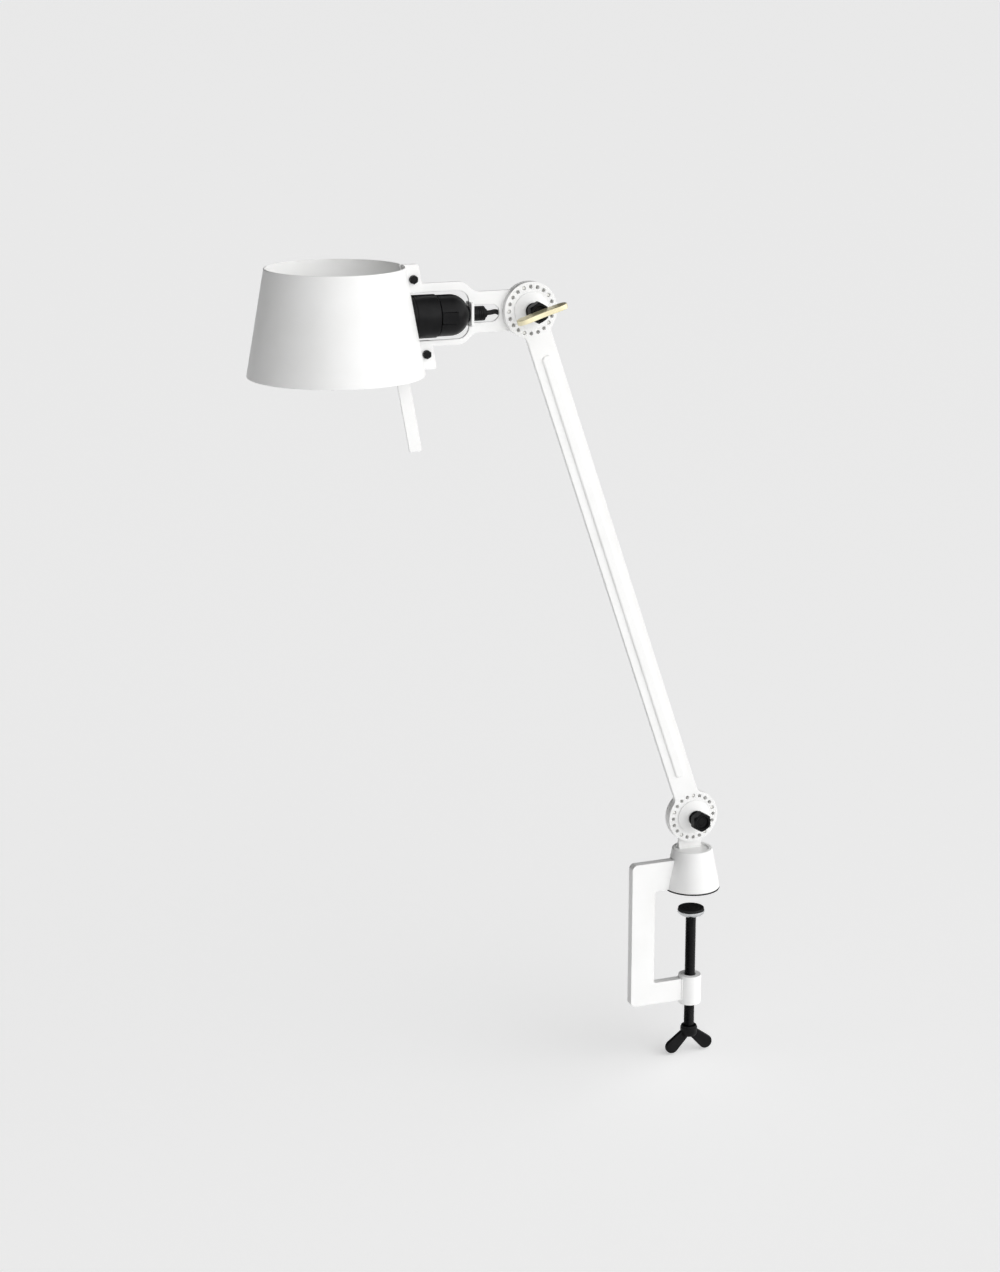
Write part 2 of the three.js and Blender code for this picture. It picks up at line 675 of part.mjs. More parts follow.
// Places of the seam bolts, as [x, z] from the elbow pivot.
const SEAM_BOLTS = SEAM_BOLT_HEIGHTS.map((z) => [shadeSide(z) + SEAM_WIDTH / 2, z]);

function seamHoles() {
  return SEAM_BOLTS.map(([x, z]) => rod("y", SEAM_BOLT_RADIUS + CLEAR, -20, 30, 16).translate(x, 0, z));
}

// Seam flange of the shade's sheet on one side of the head plate.
function seamFlange(front, top, bottom) {
  const shape = new THREE.Shape();
  shape.moveTo(shadeSide(bottom) - 0.8, bottom);
  shape.lineTo(shadeSide(bottom) + SEAM_WIDTH - 2, bottom);
  shape.lineTo(shadeSide(bottom) + SEAM_WIDTH, bottom + 2);
  shape.lineTo(shadeSide(top) + SEAM_WIDTH, top - 2);
  shape.lineTo(shadeSide(top) + SEAM_WIDTH - 2, top);
  shape.lineTo(shadeSide(top) - 0.8, top);
  shape.closePath();
  return plate(shape, front, front + SHADE_SHEET);
}

function shade() {
  const shell = turned(
    "z",
    [
      [SHADE_BOTTOM_RADIUS - SHADE_SHEET, SHADE_BOTTOM],
      [SHADE_BOTTOM_RADIUS, SHADE_BOTTOM],
      [SHADE_TOP_RADIUS, SHADE_TOP],
      [SHADE_TOP_RADIUS - SHADE_SHEET, SHADE_TOP],
      [SHADE_BOTTOM_RADIUS - SHADE_SHEET, SHADE_BOTTOM],
    ],
    56,
  );
  shell.translate(SHADE_AXIS, HEAD_Y, 0);
  const plateGap = HEAD_SHEET / 2 + GAP;
  const slit = box(
    [shadeSide(SHADE_TOP) - 20, HEAD_Y - plateGap, SHADE_BOTTOM - 1],
    [shadeSide(SHADE_BOTTOM) + 5, HEAD_Y + plateGap, SHADE_TOP + 1],
  );
  const opening = rod("x", HOLDER_CUTOUT, shadeSide(SHADE_TOP) - 20, -90, 40);
  opening.translate(0, HEAD_Y, HOLDER_Z);
  const fronts = [HEAD_Y - plateGap - SHADE_SHEET, HEAD_Y + plateGap];
  const flanges = fronts.flatMap((front) => [
    seamFlange(front, SHADE_TOP, CUTOUT_TOP),
    seamFlange(front, CUTOUT_BOTTOM, SHADE_BOTTOM),
  ]);
  const body = cut(join(cut(shell, slit), ...flanges), opening, ...seamHoles());
  return named("shade", "white_coat", body);
}

function seamBolt(name, [x, z]) {
  const front = HEAD_Y - HEAD_SHEET / 2 - SHADE_SHEET - 2 * GAP;
  const bolt = join(
    hexagon("y", SEAM_BOLT_FLATS, front - 3.5, front),
    rod("y", SEAM_BOLT_RADIUS, front - 1, front + 13, 16),
  );
  return named(name, "black_steel", bolt.translate(x, 0, z));
}

function seamNut(name, [x, z]) {
  const front = HEAD_Y + HEAD_SHEET / 2 + SHADE_SHEET + 2 * GAP;
  const bore = rod("y", SEAM_BOLT_RADIUS + CLEAR, -20, 30, 16);
  const nut = cut(hexagon("y", SEAM_BOLT_FLATS, front, front + 4), bore);
  return named(name, "black_steel", nut.translate(x, 0, z));
}

// ---------------------------------------------------------------- lampholder, bulb and lead

function holderCollar() {
  const wall = 2.6;
  const collar = turned(
    "x",
    [
      [COLLAR_RADIUS - wall, COLLAR_START],
      [COLLAR_RADIUS, COLLAR_START],
      [COLLAR_RADIUS, COLLAR_END - 2],
      [COLLAR_RADIUS - 1, COLLAR_END - 0.6],
      [COLLAR_RADIUS - wall, COLLAR_END],
      [COLLAR_RADIUS - wall, COLLAR_START],
    ],
    36,
  );
  return named("holder_collar", "black_plastic", collar.translate(0, HEAD_Y, HOLDER_Z));
}

function holderDome() {
  const end = TAB_FACE - HEAD_SHEET - GAP;
  const start = COLLAR_END + GAP;
  const wall = 2.4;
  const bend = 19;
  const shares = [0, 0.2, 0.4, 0.6, 0.8, 1];
  const outer = shares.map((share) => {
    const angle = share * THREE.MathUtils.degToRad(68);
    return [DOME_RADIUS - bend * (1 - Math.cos(angle)), end - 1.4 - bend + bend * Math.sin(angle)];
  });
  const inner = outer.map(([radius, along]) => [radius - wall, along - 1.5]).reverse();
  const dome = turned(
    "x",
    [
      [DOME_RADIUS - wall, start],
      [DOME_RADIUS, start],
      ...outer,
      [8, end],
      [NIPPLE_RADIUS + CLEAR, end],
      [NIPPLE_RADIUS + CLEAR, end - 2.4],
      ...inner,
      [DOME_RADIUS - wall, start],
    ],
    32,
  );
  dome.translate(0, HEAD_Y, HOLDER_Z);
  const pocketFront = HEAD_Y - DOME_RADIUS - 1;
  const pocket = box(
    [ROCKER_X - 8.6, pocketFront, ROCKER_Z - 6.3],
    [ROCKER_X + 8.6, HEAD_Y - 12, ROCKER_Z + 6.3],
  );
  return named("holder_dome", "black_plastic", cut(dome, pocket));
}

function rockerSwitch() {
  const front = HEAD_Y - DOME_RADIUS - 1.4;
  const shape = new THREE.Shape();
  shape.moveTo(ROCKER_X - 8, 0);
  shape.lineTo(ROCKER_X + 8, 0);
  shape.lineTo(ROCKER_X + 8, 3.4);
  shape.lineTo(ROCKER_X, 2.2);
  shape.lineTo(ROCKER_X - 8, 1.2);
  shape.closePath();
  const rocker = new THREE.ExtrudeGeometry(shape, { depth: 11.6, bevelEnabled: false });
  rocker.rotateX(Math.PI).translate(0, front + 3.6, ROCKER_Z + 5.8);
  return named("rocker_switch", "black_plastic", rocker);
}

function holderInsert() {
  const body = ring("x", 17.5, 14.6, -140, -108, 24);
  const floor = rod("x", 17.5, -108.5, -104, 24);
  return named("holder_insert", "nylon", join(body, floor).translate(0, HEAD_Y, HOLDER_Z));
}

function holderContact() {
  return named("holder_contact", "brass", rod("x", 4, -109.6, -108.8, 16).translate(0, HEAD_Y, HOLDER_Z));
}

function holderNipple() {
  return named(
    "holder_nipple",
    "bare_steel",
    ring("x", NIPPLE_RADIUS, 3, -76, -57.5, 24).translate(0, HEAD_Y, HOLDER_Z),
  );
}

function cableGland() {
  const start = TAB_FACE + GAP;
  const gland = turned(
    "x",
    [
      [NIPPLE_RADIUS + CLEAR, start],
      [GLAND_RADIUS, start],
      [GLAND_RADIUS, GLAND_STEP],
      [GLAND_RADIUS - 2.6, GLAND_STEP],
      [GLAND_RADIUS - 3, GLAND_END],
      [LEAD_RADIUS + GAP, GLAND_END],
      [LEAD_RADIUS + GAP, -57],
      [NIPPLE_RADIUS + CLEAR, -57],
      [NIPPLE_RADIUS + CLEAR, start],
    ],
    32,
  );
  return named("cable_gland", "black_plastic", gland.translate(0, HEAD_Y, HOLDER_Z));
}

function bulbCap() {
  const cap = turned(
    "x",
    [
      [12.2, CAP_END],
      [13.2, CAP_END],
      [13.2, -115],
      [6, -111],
      [6, -110],
      [0, -110],
      [0, -111.2],
      [4.8, -111.2],
      [12.2, -115.4],
      [12.2, CAP_END],
    ],
    32,
  );
  return named("bulb_cap", "bare_steel", cap.translate(0, HEAD_Y, HOLDER_Z));
}

function bulbGlass() {
  const wall = 0.8;
  const end = CAP_END - GAP;
  const round = Array.from({ length: 8 }, (_, i) => {
    const angle = (i / 7) * THREE.MathUtils.degToRad(128);
    return [BULB_RADIUS * Math.sin(angle), BULB_MIDDLE - BULB_RADIUS * Math.cos(angle)];
  });
  const outer = [...round, [16.5, -162], [13.6, -148], [13.6, end]];
  const inner = outer
    .map(([radius, along], i) => [Math.max(radius - wall, 0), i < 4 ? along + wall : along])
    .reverse();
  const glass = turned("x", [...outer, ...inner], 24);
  return named("bulb_glass", "frosted_glass", glass.translate(0, HEAD_Y, HOLDER_Z));
}

// A round lead through the given points.
function leadAlong(name, points, steps) {
  const curve = new THREE.CatmullRomCurve3(points.map((p) => new THREE.Vector3(...p)));
  const section = new THREE.Shape().absarc(0, 0, LEAD_RADIUS, 0, 2 * Math.PI);
  const tube = new THREE.ExtrudeGeometry(section, { steps, extrudePath: curve, curveSegments: 5 });
  return named(name, "rubber", tube);
}

// A place on the arm, at a distance from the elbow pivot, in the head's coordinates.
function onArm(distance, across, y) {
  const down = new THREE.Vector2(Math.sin(ARM_TILT), -Math.cos(ARM_TILT));
  return [distance * down.x + across * down.y * -1, y, distance * down.y + across * down.x];
}

// From the gland, back through the slot, to behind the plate.
const HEAD_LEAD_POINTS = [
  [GLAND_END - 4, HEAD_Y, HOLDER_Z],
  [GLAND_END + 1, HEAD_Y + 0.1, HOLDER_Z],
  [-40, HEAD_Y + 2.4, HOLDER_Z],
  [-36.2, HEAD_Y + 5, HOLDER_Z],
  [-32.5, HEAD_Y + 8, HOLDER_Z - 0.3],
  [-27, HEAD_Y + 10.8, -4.2],
  [-20, HEAD_Y + 11.6, -10.6],
];

// From there, round behind the elbow and into the arm's groove.
const LOOP_POINTS = [
  [-20 + 0.4, HEAD_Y + 11.65, -10.6 - 0.4],
  [-9, HEAD_Y + 12, -18.4],
  [1, HEAD_Y + 11.5, -27],
  onArm(37, 0, HEAD_Y + 9.4),
  onArm(46, 0, HEAD_Y + 4.6),
  onArm(53, 0, ARM_LEAD_Y + 3.2),
  onArm(LOOP_END - 1, 0, ARM_LEAD_Y),
];

function armLead() {
  const top = ARM_LENGTH - LOOP_END;
  const lead = rod("z", LEAD_RADIUS, LEAD_EXIT + GAP, top, 10).translate(0, ARM_LEAD_Y, 0);
  return named("lead_in_arm", "rubber", lead);
}

// Strain relief where the lead leaves the arm's groove.
function leadOutlet() {
  const outlet = turned("z", [
    [0, LEAD_EXIT - 14],
    [2.8, LEAD_EXIT - 14],
    [3.2, LEAD_EXIT - 6],
    [3.4, LEAD_EXIT],
    [0, LEAD_EXIT],
  ]);
  return named("lead_outlet", "black_plastic", outlet.translate(0, ARM_LEAD_Y + 0.9, 0));
}

// ---------------------------------------------------------------- assembly

lamp.add(
  clampFrame(),
  clampBoss(),
  clampScrew(),
  wingHandle(),
  pressurePad(),
  padCushion(),
  footPad(),
  baseCup(),
  cupSetScrew("cup_set_screw_left", -SET_SCREW_X),
  cupSetScrew("cup_set_screw_right", SET_SCREW_X),
  swivelTongue(),
  swivelThrustWasher(),
  swivelWasher(),
  swivelNut(),
);

arm.add(
  armPlate(),
  indexRing("lower_index_ring", 0, 1),
  indexRing("elbow_index_ring", ARM_LENGTH, 0),
  leadClip("lead_clip_upper", 440),
  leadClip("lead_clip_middle", 300),
  leadClip("lead_clip_lower", 160),
  armLead(),
  leadOutlet(),
);

const lowerHardware = pivotHardware("lower", PLATE_FRONT + TONGUE_SHEET);
lowerJoint.add(...lowerHardware.pieces, named("lower_clamp_knob", "black_plastic", lowerHardware.knob));

const elbowHardware = pivotHardware("elbow", PLATE_FRONT + HEAD_SHEET);
const elbowKnob = cut(elbowHardware.knob, wingSlot(elbowHardware.knobFront));
head.add(
  ...elbowHardware.pieces,
  named("elbow_clamp_knob", "black_plastic", elbowKnob),
  brassWing(elbowHardware.knobFront),
  headBracket(),
  shade(),
  seamBolt("seam_bolt_upper", SEAM_BOLTS[0]),
  seamBolt("seam_bolt_lower", SEAM_BOLTS[1]),
  seamNut("seam_nut_upper", SEAM_BOLTS[0]),
  seamNut("seam_nut_lower", SEAM_BOLTS[1]),
  holderCollar(),
  holderDome(),
  rockerSwitch(),
  holderInsert(),
  holderContact(),
  holderNipple(),
  cableGland(),
  bulbCap(),
  bulbGlass(),
  leadAlong("lead_at_head", HEAD_LEAD_POINTS, 14),
  leadAlong("lead_elbow_loop", LOOP_POINTS, 24),
);

export default lamp;
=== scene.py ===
"""Swing arm desk lamp: the looks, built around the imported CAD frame.

Pieces are drawn in millimetres, in the frame of the joint that they belong to, and placed in
metres. -X points to the shade and -Y to the side of the clamp knobs.
"""

import json
import math

import bmesh
import bpy
from mathutils import Matrix, Vector
from mathutils.geometry import tessellate_polygon


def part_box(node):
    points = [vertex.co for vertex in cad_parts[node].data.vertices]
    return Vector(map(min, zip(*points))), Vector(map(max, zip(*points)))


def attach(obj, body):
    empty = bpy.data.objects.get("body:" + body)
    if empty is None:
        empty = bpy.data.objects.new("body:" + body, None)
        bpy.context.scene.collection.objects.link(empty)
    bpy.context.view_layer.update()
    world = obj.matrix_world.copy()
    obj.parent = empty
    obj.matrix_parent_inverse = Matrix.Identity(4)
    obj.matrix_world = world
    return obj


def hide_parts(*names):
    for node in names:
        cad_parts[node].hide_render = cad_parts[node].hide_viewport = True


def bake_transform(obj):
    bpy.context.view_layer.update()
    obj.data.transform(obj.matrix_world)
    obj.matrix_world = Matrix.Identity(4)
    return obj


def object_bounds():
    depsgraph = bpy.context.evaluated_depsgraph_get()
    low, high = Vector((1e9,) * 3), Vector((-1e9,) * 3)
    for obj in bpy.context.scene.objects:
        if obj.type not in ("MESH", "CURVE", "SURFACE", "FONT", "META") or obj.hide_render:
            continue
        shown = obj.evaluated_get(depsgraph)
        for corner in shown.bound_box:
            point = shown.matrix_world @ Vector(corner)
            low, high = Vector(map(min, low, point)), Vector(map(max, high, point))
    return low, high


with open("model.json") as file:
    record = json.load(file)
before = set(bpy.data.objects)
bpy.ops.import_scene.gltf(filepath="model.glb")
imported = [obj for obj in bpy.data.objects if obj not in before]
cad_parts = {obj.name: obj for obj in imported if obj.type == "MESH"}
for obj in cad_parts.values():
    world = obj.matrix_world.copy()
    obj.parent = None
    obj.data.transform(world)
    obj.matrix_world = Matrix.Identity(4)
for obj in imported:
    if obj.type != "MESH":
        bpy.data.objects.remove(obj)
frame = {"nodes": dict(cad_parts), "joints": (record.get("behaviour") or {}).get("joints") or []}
cad_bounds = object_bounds()
scene = bpy.context.scene

# ---------------------------------------------------------------- frames and driving dimensions

MM = 0.001
GAP = 0.3  # air between two pieces that rest on each other
CLEAR = 0.25  # radial clearance of a bolt in its hole
FULL = 2 * math.pi


def joint_place(name):
    """Where a joint stands, in metres."""
    return Vector(next(joint["pos_m"] for joint in frame["joints"] if joint["name"] == name))


def span(node, axis):
    """Lowest and highest place of a CAD node along x, y or z, in millimetres."""
    i = "xyz".index(axis)
    return tuple(corner[i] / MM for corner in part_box(node))


def half_width(node):
    low, high = span(node, "y")
    return (high - low) / 2


PIVOT = joint_place("arm_pivot")
ELBOW = joint_place("head_pivot")
ARM_LENGTH = (ELBOW - PIVOT).length / MM
ARM_TILT = math.atan2(PIVOT.x - ELBOW.x, ELBOW.z - PIVOT.z)
PIVOT_HEIGHT = PIVOT.z / MM

LAMP = Matrix.Diagonal((MM, MM, MM, 1))
LOWER = Matrix.Translation(PIVOT) @ LAMP
HEAD = Matrix.Translation(ELBOW) @ LAMP
ARM = Matrix.Translation(PIVOT) @ Matrix.Rotation(-ARM_TILT, 4, "Y") @ LAMP
FLAT = Matrix.Rotation(-math.pi / 2, 4, "X")  # turns a plate's outline from XZ to XY
CROSSWISE = Matrix.Rotation(math.pi / 2, 4, "Z")  # turns a plate's outline from XZ to YZ

# Arm and joints.
ARM_FRONT = span("lower_dished_washer", "y")[1] + GAP
ARM_BACK = span("arm_plate", "y")[1]
ARM_HALF = 14
RIB_HALF = 6
RIB_HEIGHT = ARM_FRONT - span("arm_plate", "y")[0]
RIB_START = 50
DISC_RADIUS = span("swivel_tongue", "x")[1]
DISC_FILLET = 8
GROOVE_HALF = 3.8  # the groove for the lead in the arm's back
GROOVE_DEPTH = 4.2
GROOVE_LOW = 36
GROOVE_HIGH = 552
INDEX_COUNT = 20
INDEX_RADIUS = 24
INDEX_HOLE = 2
PEG_COUNT = 5
PEG_RADIUS = 1.6
PLATE_FRONT = span("lower_index_ring", "y")[1] + GAP
BOLT_RADIUS = 4
BOLT_FLATS = 13
WASHER_RADIUS = span("lower_back_washer", "x")[1]
DISH_RADIUS = span("lower_dished_washer", "x")[1]
KNOB_FLATS = span("lower_clamp_knob", "x")[1] * 2
KNOB_NECK = 7.4
KNOB_NECK_LENGTH = 5.3
WING_TILT = math.radians(17)
WING_THICK = 5.2
WING_REACH = 28

# Base and clamp.
TONGUE_BACK = PLATE_FRONT + 4
TONGUE_HALF = 13.5
FOOT_PAD = span("foot_pad", "z")[1]
CUP_TOP = span("base_cup", "z")[1]
CUP_FOOT_RADIUS = span("foot_pad", "x")[1] + 0.4
CUP_TOP_RADIUS = 22
CUP_WALL = 3.6
ROTOR_RADIUS = 17.7
ROTOR_TOP = 44
WEB_TOP = 40
WEB_BOTTOM = 34
STEM_RADIUS = 7.5
STUD_RADIUS = 5
SET_SCREW_X = 9
SET_SCREW_Z = 12
SET_SCREW_RADIUS = 2.5
CLAMP_LEFT, CLAMP_RIGHT = span("clamp_frame", "x")
CLAMP_BOTTOM, CLAMP_TOP = span("clamp_frame", "z")
CLAMP_HALF = span("clamp_frame", "y")[1]
CLAMP_INNER = -46.3
CLAMP_LOW_TOP = -106
BOSS_RADIUS = span("clamp_boss", "x")[1]
BOSS_BOTTOM, BOSS_TOP = span("clamp_boss", "z")
SPINDLE_RADIUS = 5.9
THREAD_PITCH = 1.75
HUB_TOP = span("clamp_wing_handle", "z")[1]
HUB_BOTTOM = HUB_TOP - 12
HUB_RADIUS = 9.5
PAD_BOTTOM, PAD_TOP = span("pressure_pad", "z")
PAD_RADIUS = span("pressure_pad", "x")[1]

# Head, from the elbow.
HEAD_SHEET = 3
HEAD_Y = PLATE_FRONT + HEAD_SHEET / 2
PLATE_BACK = PLATE_FRONT + HEAD_SHEET
SHADE_TOP = span("shade", "z")[1] - ELBOW.z / MM
SHADE_BOTTOM = span("shade", "z")[0] - ELBOW.z / MM
SHADE_BOTTOM_RADIUS = half_width("shade")
SHADE_TOP_RADIUS = 70.2
SHADE_AXIS = span("shade", "x")[0] - ELBOW.x / MM + SHADE_BOTTOM_RADIUS
SHADE_SHEET = 1.2
SEAM_WIDTH = 17
SEAM_BOLT_RADIUS = 2.5
SEAM_BOLT_FLATS = 8
HOLDER_Z = -1.5  # height of the lampholder's axis
HOLDER_CUTOUT = 24.5
CUTOUT_TOP = HOLDER_Z + HOLDER_CUTOUT
CUTOUT_BOTTOM = HOLDER_Z - HOLDER_CUTOUT
HANDLE_WIDTH = 13.4
HANDLE_INSET = 27.4
HANDLE_END = span("head_bracket", "z")[0] - ELBOW.z / MM
TAB_FACE = -62
TAB_HALF_Y = 8.5
TAB_HALF_Z = 12.5
SLOT_END = -31.9
SLOT_HALF = 9
COLLAR_RADIUS = half_width("holder_collar")
COLLAR_START = -152
COLLAR_END = -101
DOME_RADIUS = half_width("holder_dome")
NIPPLE_RADIUS = 5
GLAND_RADIUS = 7.5
GLAND_STEP = -48.6
GLAND_END = -46
LEAD_RADIUS = 2.5
LOOP_END = 62
LEAD_EXIT = 54
ARM_LEAD_Y = ARM_BACK - GROOVE_DEPTH + GAP + LEAD_RADIUS
ROCKER_X = -92
ROCKER_Z = -2
ROCKER_HALF = 8
ROCKER_HALF_HEIGHT = 5.8
INSERT_RADIUS = 17.5
INSERT_BORE = 14.6
INSERT_START = -140
INSERT_END = -104
NIPPLE_START = -76
NIPPLE_END = -57.5
CAP_END = -136
BULB_RADIUS = 30
BULB_MIDDLE = -196

# ---------------------------------------------------------------- materials


def noise(tree, scale, detail=3.0, stretch=(1, 1, 1)):
    """The value of a noise of that many cells per metre."""
    place = tree.nodes.new("ShaderNodeTexCoord")
    mapping = tree.nodes.new("ShaderNodeMapping")
    mapping.inputs["Scale"].default_value = [scale * s for s in stretch]
    texture = tree.nodes.new("ShaderNodeTexNoise")
    texture.inputs["Scale"].default_value = 1
    texture.inputs["Detail"].default_value = detail
    tree.links.new(place.outputs["Object"], mapping.inputs["Vector"])
    tree.links.new(mapping.outputs["Vector"], texture.inputs["Vector"])
    return texture.outputs["Fac"]


def ramp(tree, value, low, high, start=0.3, end=0.7):
    """Turns a value from start to end into one from low to high."""
    node = tree.nodes.new("ShaderNodeMapRange")
    for name, number in zip(("From Min", "From Max", "To Min", "To Max"), (start, end, low, high)):
        node.inputs[name].default_value = number
    tree.links.new(value, node.inputs["Value"])
    return node.outputs["Result"]


def blend_colours(tree, share, first, second):
    node = tree.nodes.new("ShaderNodeMix")
    node.data_type = "RGBA"
    node.inputs["A"].default_value = (*first, 1)
    node.inputs["B"].default_value = (*second, 1)
    tree.links.new(share, node.inputs["Factor"])
    return node.outputs["Result"]


def bump(tree, shader, layers):
    """Adds height layers, given as (value, strength, distance in metres)."""
    normal = None
    for value, strength, distance in layers:
        node = tree.nodes.new("ShaderNodeBump")
        node.inputs["Strength"].default_value = strength
        node.inputs["Distance"].default_value = distance
        tree.links.new(value, node.inputs["Height"])
        if normal:
            tree.links.new(normal, node.inputs["Normal"])
        normal = node.outputs["Normal"]
    tree.links.new(normal, shader.inputs["Normal"])


FINISHES = {}


def surface(name, first, second, patches, marks, rough, grain, **constants):
    """Adds a finish: two close colours in patches, fine marks that change the gloss, and a grain.

    patches is (cells per metre, start, end); marks is cells per metre, or (cells, stretch);
    rough is (low, high); grain is a list of (cells per metre, strength, distance).
    """
    material = bpy.data.materials.new(name)
    material.use_nodes = True
    tree = material.node_tree
    shader = tree.nodes["Principled BSDF"]
    scale, start, end = patches
    share = ramp(tree, noise(tree, scale, 5), 0, 1, start, end)
    tree.links.new(blend_colours(tree, share, first, second), shader.inputs["Base Color"])
    cells, stretch = marks if isinstance(marks, tuple) else (marks, (1, 1, 1))
    gloss = ramp(tree, noise(tree, cells, 4, stretch), *rough)
    tree.links.new(gloss, shader.inputs["Roughness"])
    bump(tree, shader, [(noise(tree, cells, 2, stretch), *rest) for cells, *rest in grain])
    for socket, value in constants.items():
        shader.inputs[socket.replace("_", " ")].default_value = value
    FINISHES[name] = material


surface(
    "white_coat", (0.9, 0.9, 0.895), (0.865, 0.865, 0.855), (24, 0.35, 0.75), 180, (0.34, 0.46),
    [(620, 0.16, 0.00012), (2600, 0.12, 0.00004)],
)
surface(
    "black_plastic", (0.004, 0.004, 0.0045), (0.008, 0.008, 0.0085), (90, 0.4, 0.75), 400,
    (0.3, 0.42), [(1900, 0.2, 0.00005)], Specular_IOR_Level=0.13,
)
surface(
    "black_steel", (0.004, 0.004, 0.0045), (0.012, 0.0115, 0.011), (260, 0.55, 0.8), 500,
    (0.24, 0.38), [(1500, 0.16, 0.00004)], Specular_IOR_Level=0.16,
)
surface(
    "brass", (0.87, 0.8, 0.56), (0.8, 0.72, 0.46), (80, 0.4, 0.8), (260, (1, 6, 6)),
    (0.34, 0.48), [(900, 0.14, 0.00003)], Metallic=0.6,
)
surface(
    "bare_steel", (0.66, 0.67, 0.68), (0.5, 0.51, 0.52), (150, 0.4, 0.75), 420, (0.22, 0.4),
    [(1700, 0.15, 0.00003)], Metallic=1.0,
)
surface(
    "rubber", (0.009, 0.009, 0.0095), (0.018, 0.018, 0.0185), (70, 0.4, 0.8), 300, (0.62, 0.8),
    [(1300, 0.3, 0.00008)], Specular_IOR_Level=0.25,
)
surface(
    "nylon", (0.86, 0.86, 0.83), (0.78, 0.77, 0.73), (60, 0.4, 0.8), 260, (0.4, 0.55),
    [(1400, 0.12, 0.00004)],
)
surface(
    "frosted_glass", (0.93, 0.925, 0.9), (0.89, 0.885, 0.86), (45, 0.4, 0.8), 220, (0.25, 0.36),
    [(2200, 0.08, 0.00003)], Coat_Weight=0.4,
)

# ---------------------------------------------------------------- shapes


def rounded(corners, closed=True, steps=5):
    """The points of an outline or profile whose corners are (across, along, radius)."""
    points = []
    for i, (across, along, radius) in enumerate(corners):
        here = Vector((across, along))
        if radius == 0 or (not closed and i in (0, len(corners) - 1)):
            points.append((across, along))
            continue
        before = Vector(corners[i - 1][:2]) - here
        after = Vector(corners[(i + 1) % len(corners)][:2]) - here
        half = before.angle(after) / 2
        reach = min(radius / math.tan(half), before.length / 2, after.length / 2)
        before.normalize()
        after.normalize()
        centre = here + (before + after).normalized() * (reach / math.cos(half))
        first = here + before * reach - centre
        last = here + after * reach - centre
        turn = math.remainder(math.atan2(last.y, last.x) - math.atan2(first.y, first.x), FULL)
        for step in range(steps + 1):
            offset = Matrix.Rotation(turn * step / steps, 2) @ first
            points.append((centre.x + offset.x, centre.y + offset.y))
    return points


def arc(x, z, radius, start, end, steps):
    """Points from one angle to the other, in degrees from +X towards +Z."""
    angles = [math.radians(start + (end - start) * i / steps) for i in range(steps + 1)]
    return [(x + radius * math.cos(a), z + radius * math.sin(a)) for a in angles]


def circle(x, z, radius, sides=32):
    return arc(x, z, radius, 0, 360 * (sides - 1) / sides, sides - 1)


def bezier(points, steps=14):
    a, b, c, d = (Vector(p) for p in points)
    curve = []
    for i in range(1, steps + 1):
        t = i / steps
        p = a * (1 - t) ** 3 + b * 3 * t * (1 - t) ** 2 + c * 3 * t * t * (1 - t) + d * t**3
        curve.append((p.x, p.y))
    return curve


def area(loop):
    return sum(a[0] * b[1] - b[0] * a[1] for a, b in zip(loop, loop[1:] + loop[:1])) / 2


def inset(loop, distance):
    """The loop moved to its left by a distance."""
    moved = []
    for i, point in enumerate(loop):
        here = Vector(point)
        back = (here - Vector(loop[i - 1])).normalized()
        ahead = (Vector(loop[(i + 1) % len(loop)]) - here).normalized()
        left = Vector((-back.y - ahead.y, back.x + ahead.x))
        left /= max(1 + back.dot(ahead), 0.2)
        moved.append((here.x + left.x * distance, here.y + left.y * distance))
    return moved


def mesh_of(vertices, faces, flat=()):
    """A mesh with smooth faces, apart from those listed as flat, and welded points."""
    mesh = bpy.data.meshes.new("mesh")
    mesh.from_pydata(vertices, [], faces)
    for polygon in mesh.polygons:
        polygon.use_smooth = polygon.index not in flat
    work = bmesh.new()
    work.from_mesh(mesh)
    bmesh.ops.remove_doubles(work, verts=work.verts, dist=1e-4)
    bmesh.ops.recalc_face_normals(work, faces=work.faces)
    work.to_mesh(mesh)
    work.free()
    return mesh


def bands(rows, count, closed=False):
    """The faces between rows of points, each row a ring of count points."""
    faces = []
    for row in range(rows if closed else rows - 1):
        low, high = row * count, (row + 1) % rows * count
        for i in range(count):
            j = (i + 1) % count
            faces.append((low + i, low + j, high + j, high + i))
    return faces


def plate(outline, front, back, edge=0.45, holes=(), steps=3):
    """A plate from y = front to y = back with rounded edges, its outline in X and Z."""
    outer = outline if area(outline) > 0 else outline[::-1]
    loops = [outer] + [hole if area(hole) < 0 else hole[::-1] for hole in holes]
    angles = [math.pi / 2 * i / steps for i in range(steps + 1)]
    layers = [(edge * (1 - math.sin(a)), edge * (1 - math.cos(a))) for a in angles]
    levels = [(shift, front + depth) for shift, depth in layers]
    levels += [(shift, back - depth) for shift, depth in reversed(layers)]
    count = sum(len(loop) for loop in loops)
    vertices = []
    for shift, y in levels:
        for loop in loops:
            vertices += [(x, y, z) for x, z in inset(loop, shift)]
    faces = []
    start = 0
    for loop in loops:
        for i in range(len(loop)):
            j = (i + 1) % len(loop)
            for level in range(len(levels) - 1):
                low = level * count + start
                faces.append((low + i, low + j, low + j + count, low + i + count))
        start += len(loop)
    sides = len(faces)
    shrunk = [[Vector((x, z, 0)) for x, z in inset(loop, edge)] for loop in loops]
    for triangle in tessellate_polygon(shrunk):
        faces.append(tuple(triangle))
        faces.append(tuple(i + count * (len(levels) - 1) for i in reversed(triangle)))
    return mesh_of(vertices, faces, flat=range(sides, len(faces)))


